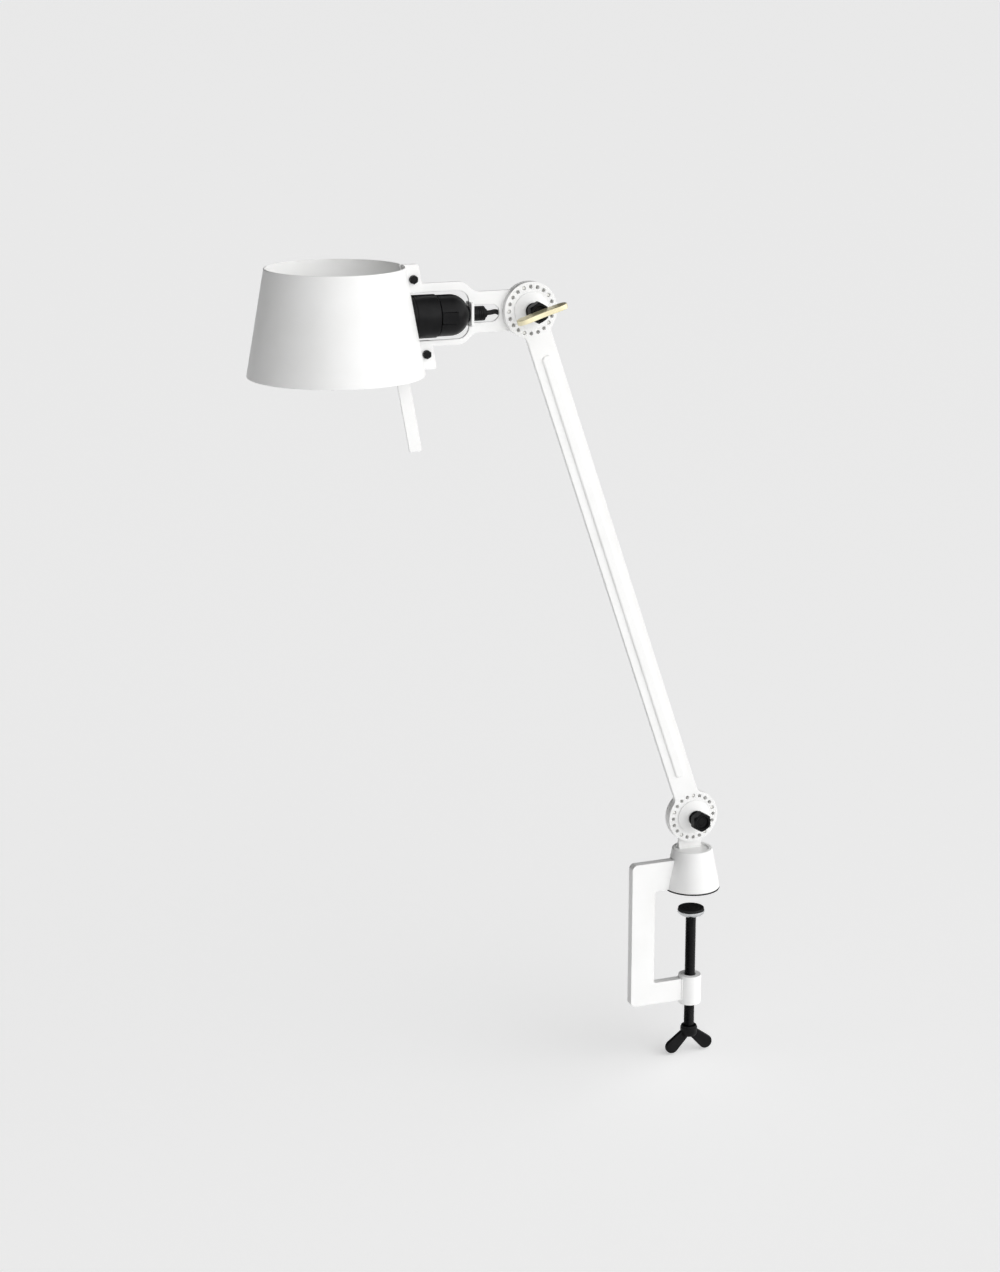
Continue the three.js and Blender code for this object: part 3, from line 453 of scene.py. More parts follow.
def revolve(axis, rows, sides=96, closed=False):
    """A turned piece about X, Y or Z. Each row is (radius, along); a radius may be a function
    of the angle, for a hexagon or a thread."""
    vertices = []
    for radius, along in rows:
        for i in range(sides):
            angle = FULL * i / sides
            r = radius(angle) if callable(radius) else radius
            a, b = r * math.cos(angle), r * math.sin(angle)
            vertices.append({"x": (along, a, b), "y": (b, along, a), "z": (a, b, along)}[axis])
    return mesh_of(vertices, bands(len(rows), sides, closed))


def lathe(axis, corners, sides=96, closed=False):
    """A turned piece whose profile corners are (radius, along, rounding)."""
    return revolve(axis, rounded(corners, closed, 4), sides, closed)


def hexagon_radius(flats, limit=1e9):
    """The radius of a hexagon by angle, cut back to a limit."""
    def radius(angle):
        return min(flats / 2 / math.cos(math.remainder(angle - math.pi / 6, math.pi / 3)), limit)

    return radius


def hexagon(axis, flats, low, high, bore=0.0):
    """A nut or a bolt head with a round chamfer at both ends."""
    corner = flats / math.sqrt(3)
    face = flats / 2 * 0.96
    rise = (corner - face) * 0.55
    shares = (0, 0.3, 0.6, 1)
    ends = [(hexagon_radius(flats, face + (corner - face) * s), rise * s) for s in shares]
    rows = [(radius, low + depth) for radius, depth in ends]
    rows += [(radius, high - depth) for radius, depth in reversed(ends)]
    if bore:
        return revolve(axis, [(bore, low), *rows, (bore, high)], 96, closed=True)
    return revolve(axis, [(0, low), *rows, (0, high)], 96)


def thread(axis, radius, depth, pitch, low, high, sides=48):
    """A threaded rod with chamfered ends."""
    per_turn = 6
    count = round((high - low) / pitch * per_turn)
    rows = [(0, low)]
    for i in range(count + 1):
        along = low + (high - low) * i / count
        end = min(along - low, high - along)
        taper = max(0, 1 - end) * depth

        def wave(angle, along=along, taper=taper):
            phase = math.fmod(along / pitch - angle / FULL + 100, 1)
            return radius - max(depth * (1 - abs(2 * phase - 1)), taper)

        rows.append((wave, along))
    rows.append((0, high))
    return revolve(axis, rows, sides)


def smooth_path(points, steps=8):
    """Points on a smooth curve through the given ones."""
    path = [Vector(p) for p in points]
    ends = [path[0] * 2 - path[1], *path, path[-1] * 2 - path[-2]]
    curve = [path[0]]
    for before, a, b, after in zip(ends, ends[1:], ends[2:], ends[3:]):
        for i in range(1, steps + 1):
            t = i / steps
            slope_a, slope_b = (b - before) / 2, (after - a) / 2
            curve.append(
                a * (2 * t**3 - 3 * t**2 + 1) + slope_a * (t**3 - 2 * t**2 + t)
                + b * (3 * t**2 - 2 * t**3) + slope_b * (t**3 - t**2)
            )
    return curve


def tube(path, radius, sides=24):
    """A round tube along a path, with flat ends. radius may be a number or a list."""
    radii = radius if isinstance(radius, list) else [radius] * len(path)
    vertices = []
    side = None
    for i, point in enumerate(path):
        ahead = (path[min(i + 1, len(path) - 1)] - path[max(i - 1, 0)]).normalized()
        side = ahead.orthogonal() if side is None else side
        side = (side - ahead * side.dot(ahead)).normalized()
        other = ahead.cross(side)
        for k in range(sides):
            angle = FULL * k / sides
            offset = side * math.cos(angle) + other * math.sin(angle)
            vertices.append(tuple(point + offset * radii[i]))
    faces = bands(len(path), sides)
    ends = [tuple(range(sides)), tuple(range(len(vertices) - sides, len(vertices)))]
    return mesh_of(vertices, faces + ends, flat=range(len(faces), len(faces) + 2))


def joined(*meshes):
    work = bmesh.new()
    for mesh in meshes:
        work.from_mesh(mesh)
    whole = bpy.data.meshes.new("mesh")
    work.to_mesh(whole)
    work.free()
    return whole


def moved(mesh, *place):
    mesh.transform(Matrix.Translation(place))
    return mesh


def turned(mesh, matrix):
    mesh.transform(matrix)
    return mesh


def cut(mesh, *tools):
    """The mesh with the closed tools taken out of it."""
    target = bpy.data.objects.new("target", mesh)
    tool = bpy.data.objects.new("tool", joined(*tools))
    for piece in (target, tool):
        scene.collection.objects.link(piece)
    boolean = target.modifiers.new("cut", "BOOLEAN")
    boolean.operation = "DIFFERENCE"
    boolean.solver = "EXACT"
    boolean.object = tool
    view = bpy.context.evaluated_depsgraph_get()
    result = bpy.data.meshes.new_from_object(target.evaluated_get(view))
    for piece in (target, tool):
        bpy.data.objects.remove(piece)
    return result


def block(low, high, edge=0.4):
    """A box with rounded edges."""
    outline = rounded([(low[0], low[2], edge), (high[0], low[2], edge), (high[0], high[2], edge),
                       (low[0], high[2], edge)], steps=3)
    return plate(outline, low[1], high[1], edge * 0.8)


def add(name, mesh, frame_matrix, body, finish, *replaced, sharp=30):
    """Places a piece, gives it its finish, and hides the CAD nodes that it replaces."""
    mesh.transform(frame_matrix)
    mesh.materials.clear()
    mesh.materials.append(FINISHES[finish])
    mesh.set_sharp_from_angle(angle=math.radians(sharp))
    piece = bpy.data.objects.new(name, mesh)
    scene.collection.objects.link(piece)
    weighted = piece.modifiers.new("normals", "WEIGHTED_NORMAL")
    weighted.keep_sharp = True
    if body:
        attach(piece, body)
    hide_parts(*replaced)
    return piece


# ---------------------------------------------------------------- clamp


def make_clamp_frame():
    """The C cut from thick plate; its upper leg ends inside the cup."""
    foot = FOOT_PAD + GAP
    outline = rounded([
        (CLAMP_LEFT, CLAMP_BOTTOM, 6), (4 - BOSS_RADIUS, CLAMP_BOTTOM, 0),
        (4 - BOSS_RADIUS, CLAMP_LOW_TOP, 0), (CLAMP_INNER, CLAMP_LOW_TOP, 2.5),
        (CLAMP_INNER, foot, 2.5), (CLAMP_RIGHT, foot, 0),
        (CLAMP_RIGHT, 20, 0), (-20, 20, 0),
        (-20, CLAMP_TOP - 1.3, 0), (-24, CLAMP_TOP, 0),
        (CLAMP_LEFT, CLAMP_TOP, 6),
    ], steps=8)
    body = plate(outline, -CLAMP_HALF, CLAMP_HALF, 0.6)
    add("clamp_c_plate", body, LAMP, "clamp", "white_coat", "clamp_frame")


def make_clamp_boss():
    bore = SPINDLE_RADIUS + CLEAR
    ring = lathe("z", [
        (bore, BOSS_BOTTOM + 0.9, 0.1), (bore + 0.8, BOSS_BOTTOM, 0.2),
        (BOSS_RADIUS, BOSS_BOTTOM, 0.9), (BOSS_RADIUS, BOSS_TOP, 0.9),
        (bore + 0.8, BOSS_TOP, 0.2), (bore, BOSS_TOP - 0.9, 0.1),
    ], closed=True)
    welds = []
    for side in (-1, 1):
        line = [Vector((-BOSS_RADIUS * 0.92, side * CLAMP_HALF, z)) for z in range(-130, -105, 2)]
        radii = [1.1 + 0.12 * math.sin(2.6 * i) for i in range(len(line))]
        welds.append(tube(line, radii, 16))
    add("clamp_nut_boss", joined(ring, *welds), LAMP, "clamp", "white_coat", "clamp_boss")


def make_clamp_screw():
    bottom, top = span("clamp_spindle", "z")
    shank = thread("z", SPINDLE_RADIUS, 0.75, THREAD_PITCH, bottom, top - 6)
    tip = lathe("z", [
        (0, top - 6.5, 0), (4.8, top - 6.5, 0.2),
        (4.8, top - 5, 0.8), (3.4, top - 4.5, 0.3),
        (3.4, top, 1.4), (0, top, 0),
    ], 64)
    whole = joined(shank, tip)
    add("clamp_screw_thread", whole, LAMP, "clamp_screw", "black_steel", "clamp_spindle")


def wing_outline(side):
    """A teardrop from the hub to its round end."""
    start = Vector((0, HUB_BOTTOM + 7))
    end = Vector((side * 20.6, HUB_BOTTOM - 11.5))
    heading = math.degrees(math.atan2(end.y - start.y, end.x - start.x))
    return (arc(end.x, end.y, 7.8, heading - 100, heading + 100, 28)
            + arc(start.x, start.y, 5, heading + 90, heading + 270, 10))


def make_wing_handle():
    hub = lathe("z", [
        (0, HUB_BOTTOM, 0), (HUB_RADIUS - 1, HUB_BOTTOM, 1.4),
        (HUB_RADIUS, HUB_BOTTOM + 3, 1), (HUB_RADIUS, HUB_TOP - 2.4, 0.3),
        (HUB_RADIUS - 0.8, HUB_TOP - 2.1, 0.3), (HUB_RADIUS - 0.8, HUB_TOP, 0.8),
        (SPINDLE_RADIUS + 1.4, HUB_TOP, 0.5), (SPINDLE_RADIUS + 1, HUB_TOP - 1, 0.3),
        (0, HUB_TOP - 1, 0),
    ])
    wings = [plate(wing_outline(side), -2.6, 2.6, 1.7, steps=6) for side in (-1, 1)]
    add("clamp_wing_nut", joined(hub, *wings), LAMP, "clamp_screw", "black_plastic",
        "clamp_wing_handle", sharp=40)


def make_pressure_foot():
    cup = lathe("z", [
        (3.8, PAD_BOTTOM, 0.3), (PAD_RADIUS - 2.2, PAD_BOTTOM, 1),
        (PAD_RADIUS, PAD_BOTTOM + 2.2, 1), (PAD_RADIUS, PAD_TOP, 0.5),
        (0, PAD_TOP, 0), (0, PAD_TOP - 1.8, 0),
        (4.6, PAD_TOP - 1.8, 0.3), (4.6, PAD_BOTTOM + 1.2, 0.3),
        (3.8, PAD_BOTTOM + 1.2, 0.2),
    ], closed=True)
    add("pressure_foot_cup", cup, LAMP, "pressure_foot", "bare_steel", "pressure_pad")
    low, high = span("pad_cushion", "z")
    radius = span("pad_cushion", "x")[1]
    shares = (0.86, 0.64, 0.6, 0.34, 0.3)
    rings = [(radius * share, high - 0.35 * (i % 2), 0.15) for i, share in enumerate(shares)]
    outside = [(0, low, 0), (radius, low, 0.4), (radius, high, 0.8)]
    cushion = lathe("z", [*outside, *rings, (0, high, 0)])
    add("pressure_foot_rubber", cushion, LAMP, "pressure_foot", "rubber", "pad_cushion")


# ---------------------------------------------------------------- base


def cup_radius(height):
    return CUP_FOOT_RADIUS + (CUP_TOP_RADIUS - CUP_FOOT_RADIUS) * height / CUP_TOP


def make_base_cup():
    foot = FOOT_PAD + GAP
    rim = ROTOR_RADIUS + GAP
    shell = lathe("z", [
        (cup_radius(foot) - CUP_WALL, foot, 0.4), (cup_radius(foot), foot, 0.9),
        (CUP_TOP_RADIUS, CUP_TOP, 1.3), (rim, CUP_TOP, 0.7),
        (rim, WEB_TOP, 0.4), (STEM_RADIUS + GAP, WEB_TOP, 0.3),
        (STEM_RADIUS + GAP, WEB_BOTTOM, 0.3),
        (cup_radius(WEB_BOTTOM) - CUP_WALL, WEB_BOTTOM, 1.5),
    ], sides=128, closed=True)
    hole = SET_SCREW_RADIUS + GAP
    drills = []
    for x in (-SET_SCREW_X, SET_SCREW_X):
        drill = revolve("y", [(0, 10), (hole, 10), (hole, 40), (0, 40)], 32)
        drills.append(moved(drill, x, 0, SET_SCREW_Z))
    add("base_cup_shell", cut(shell, *drills), LAMP, "clamp", "white_coat", "base_cup")
    pad = span("foot_pad", "x")[1]
    sole = lathe("z", [(0, 0, 0), (pad, 0, 0.35), (pad, FOOT_PAD, 0.35), (0, FOOT_PAD, 0)], 128)
    add("base_cup_sole", sole, LAMP, "clamp", "rubber", "foot_pad")


def make_set_screw(name, x):
    """A grub screw with a hexagon socket, in the back of the cup."""
    front, back = span(name, "y")
    socket = hexagon_radius(2.5)
    screw = revolve("y", [
        (0, front), (SET_SCREW_RADIUS, front),
        (SET_SCREW_RADIUS, back - 0.4), (SET_SCREW_RADIUS - 0.4, back),
        (socket, back), (socket, back - 2),
        (0, back - 2),
    ], 48)
    add(name + "_socket", moved(screw, x, 0, SET_SCREW_Z), LAMP, "clamp", "black_steel", name)


def make_tongue():
    """The turning disc with its upright tongue, welded all round."""
    low = span("swivel_tongue", "z")[0]
    under = ROTOR_TOP - 2.7
    rotor = lathe("z", [
        (0, low, 0), (STUD_RADIUS, low, 0.6),
        (STUD_RADIUS, WEB_BOTTOM, 0.1), (STEM_RADIUS, WEB_BOTTOM, 0.3),
        (STEM_RADIUS, under, 0.2), (ROTOR_RADIUS, under, 0.4),
        (ROTOR_RADIUS, ROTOR_TOP, 0.6), (0, ROTOR_TOP, 0),
    ])
    meet = math.degrees(math.asin(TONGUE_HALF / DISC_RADIUS))
    outline = [(-TONGUE_HALF, ROTOR_TOP - 1), (TONGUE_HALF, ROTOR_TOP - 1)]
    outline += arc(0, PIVOT_HEIGHT, DISC_RADIUS, meet - 90, 270 - meet, 90)
    bore = circle(0, PIVOT_HEIGHT, BOLT_RADIUS + CLEAR)
    tongue = plate(outline, PLATE_FRONT, TONGUE_BACK, 0.5, [bore])
    beads = []
    for y in (PLATE_FRONT, TONGUE_BACK):
        line = [Vector((-TONGUE_HALF + i * 0.9, y, ROTOR_TOP)) for i in range(31)]
        radii = [1.2 + 0.13 * math.sin(2.2 * i) for i in range(31)]
        beads.append(tube(line, radii, 16))
    whole = joined(rotor, tongue, *beads)
    add("swivel_tongue_plate", whole, LAMP, "swivel", "white_coat", "swivel_tongue")


# ---------------------------------------------------------------- arm


def make_rib():
    """The rib along the arm's front: a low ridge with round shoulders."""
    # How far in from the rib's foot, and what share of its height is reached there.
    layers = [(0, 0), (0.12, 0.02), (0.4, 0.12), (0.75, 0.5), (1.1, 0.8), (1.7, 0.96), (2.4, 1)]
    ends = rounded([
        (-RIB_HALF, RIB_START, RIB_HALF - 1.2), (RIB_HALF, RIB_START, RIB_HALF - 1.2),
        (RIB_HALF, ARM_LENGTH - RIB_START, RIB_HALF - 1.2),
        (-RIB_HALF, ARM_LENGTH - RIB_START, RIB_HALF - 1.2),
    ], steps=9)
    vertices = []
    for shift, rise in layers:
        vertices += [(x, ARM_FRONT + 0.05 - rise * RIB_HEIGHT, z) for x, z in inset(ends, shift)]
    count = len(ends)
    faces = bands(len(layers), count)
    top = (len(layers) - 1) * count
    faces.append(tuple(range(top, top + count)))
    return mesh_of(vertices, faces, flat=[len(faces) - 1])


def arm_outline():
    """Two discs joined by a straight bar, with a fillet at each meeting."""
    across = ARM_HALF + DISC_FILLET
    rise = math.sqrt((DISC_RADIUS + DISC_FILLET) ** 2 - across**2)
    meet = math.degrees(math.atan2(rise, across))
    high = ARM_LENGTH - rise
    return (arc(across, rise, DISC_FILLET, 180, 180 + meet, 8)[:-1]
            + arc(0, 0, DISC_RADIUS, meet, -180 - meet, 90)
            + arc(-across, rise, DISC_FILLET, -meet, 0, 8)[1:]
            + arc(-across, high, DISC_FILLET, 0, meet, 8)[:-1]
            + arc(0, ARM_LENGTH, DISC_RADIUS, 180 + meet, -meet, 90)
            + arc(across, high, DISC_FILLET, 180 - meet, 180, 8)[1:])


def make_arm():
    holes = []
    for centre in (0, ARM_LENGTH):
        holes.append(circle(0, centre, BOLT_RADIUS + CLEAR))
        for i in range(INDEX_COUNT):
            angle = FULL * i / INDEX_COUNT
            x, z = INDEX_RADIUS * math.sin(angle), centre + INDEX_RADIUS * math.cos(angle)
            holes.append(circle(x, z, INDEX_HOLE, 20))
    bar = plate(arm_outline(), ARM_FRONT, ARM_BACK, 0.4, holes)
    groove = block((-GROOVE_HALF, ARM_BACK - GROOVE_DEPTH, GROOVE_LOW),
                   (GROOVE_HALF, ARM_BACK + 1, GROOVE_HIGH), 0.5)
    whole = joined(cut(bar, groove), make_rib())
    add("arm_bar", whole, ARM, "arm", "white_coat", "arm_plate")


def make_index_ring(name, centre, first_peg):
    """A nylon ring with round-nosed pegs in every fourth hole."""
    back = PLATE_FRONT - GAP
    front = back - 0.8
    inner, outer = 19, DISC_RADIUS - 0.3
    corners = ((inner, front), (outer, front), (outer, back), (inner, back))
    ring = lathe("y", [(radius, along, 0.2) for radius, along in corners], closed=True)
    pegs = []
    for i in range(PEG_COUNT):
        angle = FULL * (first_peg + i * INDEX_COUNT / PEG_COUNT) / INDEX_COUNT
        peg = lathe("y", [
            (0, ARM_FRONT + 0.8, 0), (PEG_RADIUS, ARM_FRONT + 0.8, 0.8),
            (PEG_RADIUS, front + 0.2, 0), (0, front + 0.2, 0),
        ], 24)
        pegs.append(moved(peg, INDEX_RADIUS * math.sin(angle), 0, INDEX_RADIUS * math.cos(angle)))
    add(name + "_pegs", moved(joined(ring, *pegs), 0, 0, centre), ARM, "arm", "nylon", name)


def make_clip(name, centre):
    """A strap across the groove that holds the lead in."""
    front = ARM_BACK + GAP
    back = span(name, "y")[1]
    half = 9
    reach = math.sqrt((LEAD_RADIUS + GAP) ** 2 - (front - ARM_LEAD_Y) ** 2)
    section = rounded([
        (-half, front, 0.3), (-reach, front, 0.2),
        (-reach * 0.7, front + 1.1, 0.5), (reach * 0.7, front + 1.1, 0.5),
        (reach, front, 0.2), (half, front, 0.3),
        (half, back, 0.9), (-half, back, 0.9),
    ], steps=3)
    clip = turned(plate(section, -centre - 5, -centre + 5, 0.3), FLAT)
    add(name + "_strap", clip, ARM, "arm", "black_plastic", name)


# ---------------------------------------------------------------- pivot hardware


def make_pivot(joint, place, plate_back, bolt_body):
    """The bolt, washers and knob of one joint. Returns the y of the knob's front."""
    washer_back = plate_back + GAP + 1.5
    head_front = washer_back + GAP
    dish_front = span(joint + "_dished_washer", "y")[0]
    flange_front = dish_front - GAP - 1.8
    knob_back = flange_front - GAP
    neck_front = knob_back - KNOB_NECK_LENGTH
    knob_front = span(joint + "_clamp_knob", "y")[0]
    bore = BOLT_RADIUS + CLEAR
    shank = thread("y", BOLT_RADIUS, 0.5, 1.25, knob_front + 4, head_front + 1, 40)
    bolt_back = head_front + 5.3
    bolt_head = hexagon("y", BOLT_FLATS, head_front, bolt_back)
    bolt = joined(shank, bolt_head)
    add(joint + "_bolt", bolt, place, bolt_body, "black_steel", joint + "_pivot_bolt")
    washer = lathe("y", [
        (bore, plate_back + GAP, 0.1), (WASHER_RADIUS, plate_back + GAP, 0.3),
        (WASHER_RADIUS, washer_back, 0.5), (bore, washer_back, 0.3),
    ], closed=True)
    add(joint + "_rear_washer", washer, place, bolt_body, "bare_steel", joint + "_back_washer")
    dish = lathe("y", [
        (bore, dish_front, 0.2), (9, dish_front, 1.2),
        (DISH_RADIUS, ARM_FRONT - GAP - 1, 0.4), (DISH_RADIUS, ARM_FRONT - GAP, 0.2),
        (bore, ARM_FRONT - GAP, 0.2),
    ], sides=128, closed=True)
    add(joint + "_dish", dish, place, "arm", "white_coat", joint + "_dished_washer")
    flange = lathe("y", [
        (bore, flange_front, 0.2), (WASHER_RADIUS, flange_front, 0.5),
        (WASHER_RADIUS, dish_front - GAP, 0.3), (bore, dish_front - GAP, 0.2),
    ], closed=True)
    add(joint + "_collar_washer", flange, place, "arm", "black_steel", joint + "_flange_washer")
    neck = lathe("y", [
        (bore, neck_front - 0.5, 0), (KNOB_NECK, neck_front - 0.5, 0),
        (KNOB_NECK - 1.2, neck_front + 1.2, 0.8), (KNOB_NECK - 1.2, knob_back - 1.6, 0.8),
        (KNOB_NECK, knob_back - 0.8, 0.3), (KNOB_NECK, knob_back, 0.3),
        (bore, knob_back, 0.2),
    ], closed=True)
    corner = KNOB_FLATS / math.sqrt(3)
    face = KNOB_FLATS / 2 * 0.97
    front_rows = []
    back_rows = []
    for share in (0, 0.35, 0.7, 1):
        radius = hexagon_radius(KNOB_FLATS, face + (corner - face) * share)
        front_rows.append((radius, knob_front + 1.8 * share))
        back_rows.append((radius, neck_front - 1.4 * share))
    dimple = [(0, 2.2), (3.4, 2.1), (4.2, 2.6), (6.2, 2.4), (7, 0.5), (7.6, 0)]
    front_face = [(radius, knob_front + depth) for radius, depth in dimple]
    head = revolve("y", [*front_face, *front_rows, *reversed(back_rows), (0, neck_front)])
    return neck, head, knob_front


def make_lower_pivot():
    neck, head, _ = make_pivot("lower", LOWER, TONGUE_BACK, "swivel")
    add("lower_knob", joined(neck, head), LOWER, "lower_knob", "black_plastic", "lower_clamp_knob")


def make_elbow_pivot():
    neck, head, knob_front = make_pivot("elbow", HEAD, PLATE_BACK, "head")
    half = WING_THICK / 2 + GAP
    slot = turned(block((-20, knob_front - 2, -half), (20, knob_front + 2.5, half), 0.05),
                  Matrix.Rotation(-WING_TILT, 4, "Y"))
    knob = joined(neck, cut(head, slot))
    add("elbow_knob", knob, HEAD, "elbow_knob", "black_plastic", "elbow_clamp_knob")
    root = knob_front + 2.2
    # Half of the outline, as distances from the middle and forwards from the foot.
    waist, back, front, middle = 14.5, 1.5, 15.5, 8.5
    lobe, tip, end = WING_REACH - 9, WING_REACH - 3, WING_REACH
    half_outline = bezier([(8, 0), (12, back * 0.7), (15, back), (lobe, back)])
    half_outline += bezier([(lobe, back), (tip, back), (end, middle - 4), (end, middle)])
    half_outline += bezier([(end, middle), (end, middle + 4), (tip, front), (lobe, front)])
    half_outline += bezier([(lobe, front), (12, front), (7, waist), (0, waist)])
    other_half = [(-x, forward) for x, forward in reversed(half_outline[:-1])]
    outline = [(x, root - forward) for x, forward in [(8, 0), *half_outline, *other_half, (-8, 0)]]
    wing = turned(plate(outline, -WING_THICK / 2, WING_THICK / 2, 0.7, steps=4),
                  Matrix.Rotation(-WING_TILT, 4, "Y") @ FLAT)
    add("elbow_wing", wing, HEAD, "elbow_knob", "brass", "elbow_brass_wing")


# ---------------------------------------------------------------- head


def shade_radius(height):
    slope = (SHADE_BOTTOM_RADIUS - SHADE_TOP_RADIUS) / (SHADE_TOP - SHADE_BOTTOM)
    return SHADE_TOP_RADIUS + slope * (SHADE_TOP - height)


def shade_side(height):
    """X of the shade's side that faces the elbow."""
    return SHADE_AXIS + shade_radius(height)


def handle_edge(height):
    return shade_side(height) - HANDLE_INSET


SEAM_BOLTS = {"upper": 36.7, "lower": -39.5}


def seam_place(height):
    return shade_side(height) + SEAM_WIDTH / 2, height


def make_bracket():
    wide, neck, corner = 32, 21, 12
    cut_end = TAB_FACE - HEAD_SHEET
    edge_top = shade_side(SHADE_TOP) + SEAM_WIDTH
    edge_bottom = shade_side(SHADE_BOTTOM) + SEAM_WIDTH

    def edge(height):
        share = (SHADE_TOP - height) / (SHADE_TOP - SHADE_BOTTOM)
        return edge_top + (edge_bottom - edge_top) * share

    meet = math.degrees(math.asin(neck / DISC_RADIUS))
    outline = arc(0, 0, DISC_RADIUS, meet - 180, 180 - meet, 80)
    outline += [(-54, neck)]
    outline += bezier([(-54, neck), (-64, neck), (-66, wide), (-77, wide)])
    outline += rounded([
        (edge(wide), wide, 2), (edge(SHADE_TOP - 1), SHADE_TOP - 1, 1.5),
        (shade_side(SHADE_TOP) - 3, SHADE_TOP - 1, 0.5),
        (shade_side(CUTOUT_TOP) - 3, CUTOUT_TOP, 1), (cut_end, CUTOUT_TOP, corner),
        (cut_end, CUTOUT_BOTTOM, corner), (handle_edge(CUTOUT_BOTTOM), CUTOUT_BOTTOM, 2),
        (handle_edge(HANDLE_END), HANDLE_END, 2.4),
        (handle_edge(HANDLE_END) + HANDLE_WIDTH, HANDLE_END, 2.4),
        (handle_edge(-46) + HANDLE_WIDTH, -46, 2), (shade_side(-46), -46, 0.5),
        (shade_side(SHADE_BOTTOM + 1), SHADE_BOTTOM + 1, 0.5),
        (edge(SHADE_BOTTOM + 1), SHADE_BOTTOM + 1, 1.5), (edge(-wide), -wide, 2),
    ], steps=8)
    outline += [(-77, -wide)]
    outline += bezier([(-77, -wide), (-66, -wide), (-64, -neck), (-54, -neck)])
    slot = [(TAB_FACE, HOLDER_Z - SLOT_HALF)]
    slot += arc(SLOT_END - SLOT_HALF, HOLDER_Z, SLOT_HALF, -90, 90, 28)
    slot += [(TAB_FACE, HOLDER_Z + SLOT_HALF)]
    holes = [slot, circle(0, 0, BOLT_RADIUS + CLEAR)]
    for height in SEAM_BOLTS.values():
        holes.append(circle(*seam_place(height), SEAM_BOLT_RADIUS + CLEAR, 24))
    body = plate(outline, PLATE_FRONT, PLATE_BACK, 0.45, holes)
    corners = ((-1, -1), (1, -1), (1, 1), (-1, 1))
    tab_outline = [(HEAD_Y + y * TAB_HALF_Y, HOLDER_Z + z * TAB_HALF_Z, 2.5) for y, z in corners]
    nipple = circle(HEAD_Y, HOLDER_Z, NIPPLE_RADIUS + CLEAR)
    tab = plate(rounded(tab_outline), -TAB_FACE, HEAD_SHEET - TAB_FACE, 0.45, [nipple])
    turned(tab, CROSSWISE)
    beads = []
    for y in (PLATE_FRONT, PLATE_BACK):
        for side in (-1, 1):
            places = [HOLDER_Z + side * (SLOT_HALF + 0.5 + 0.5 * i) for i in range(6)]
            radii = [0.9 + 0.1 * math.sin(2.4 * i) for i in range(6)]
            beads.append(tube([Vector((TAB_FACE, y, z)) for z in places], radii, 12))
    add("head_plate", joined(body, tab, *beads), HEAD, "head", "white_coat", "head_bracket")


def shade_shell():
    """The cone, open along its seam and round the lampholder, with rounded rims."""
    slit = HEAD_SHEET / 2 + GAP
    heights = [SHADE_BOTTOM + (SHADE_TOP - SHADE_BOTTOM) * i / 60 for i in range(61)]
    for a in range(60, 91, 3):
        rise = HOLDER_CUTOUT * math.sin(math.radians(a))
        heights += [HOLDER_Z - rise, HOLDER_Z + rise]
    heights += [SHADE_BOTTOM + 0.15, SHADE_BOTTOM + 0.5, SHADE_TOP - 0.15, SHADE_TOP - 0.5]
    heights.sort()
    columns = 180
    vertices = []
    for height in heights:
        edge = min(height - SHADE_BOTTOM, SHADE_TOP - height, 0.6)
        half = SHADE_SHEET / 2 * math.sqrt(max(1 - (1 - edge / 0.6) ** 2, 0))
        middle = shade_radius(height) - SHADE_SHEET / 2
        opening = math.sqrt(max(HOLDER_CUTOUT**2 - (height - HOLDER_Z) ** 2, 0))
        start = math.asin(max(slit, opening) / shade_radius(height))
        angles = [start + (FULL - 2 * start) * i / columns for i in range(columns + 1)]
        for radius, turn in ((middle + half, angles), (middle - half, angles[::-1])):
            for a in turn:
                x, y = SHADE_AXIS + radius * math.cos(a), HEAD_Y + radius * math.sin(a)
                vertices.append((x, y, height))
    return mesh_of(vertices, bands(len(heights), 2 * (columns + 1)))


def seam_flange(front, top, bottom, bolt):
    outline = rounded([
        (shade_side(bottom) - 0.6, bottom, 0), (shade_side(bottom) + SEAM_WIDTH, bottom, 2.5),
        (shade_side(top) + SEAM_WIDTH, top, 2.5), (shade_side(top) - 0.6, top, 0),
    ], steps=6)
    hole = circle(*seam_place(bolt), SEAM_BOLT_RADIUS + CLEAR, 24)
    return plate(outline, front, front + SHADE_SHEET, 0.3, [hole])


def make_shade():
    slit = HEAD_SHEET / 2 + GAP
    flanges = []
    for front in (HEAD_Y - slit - SHADE_SHEET, HEAD_Y + slit):
        flanges.append(seam_flange(front, SHADE_TOP - 0.5, CUTOUT_TOP, SEAM_BOLTS["upper"]))
        flanges.append(seam_flange(front, CUTOUT_BOTTOM, SHADE_BOTTOM + 0.5, SEAM_BOLTS["lower"]))
    add("shade_cone", joined(shade_shell(), *flanges), HEAD, "head", "white_coat", "shade")


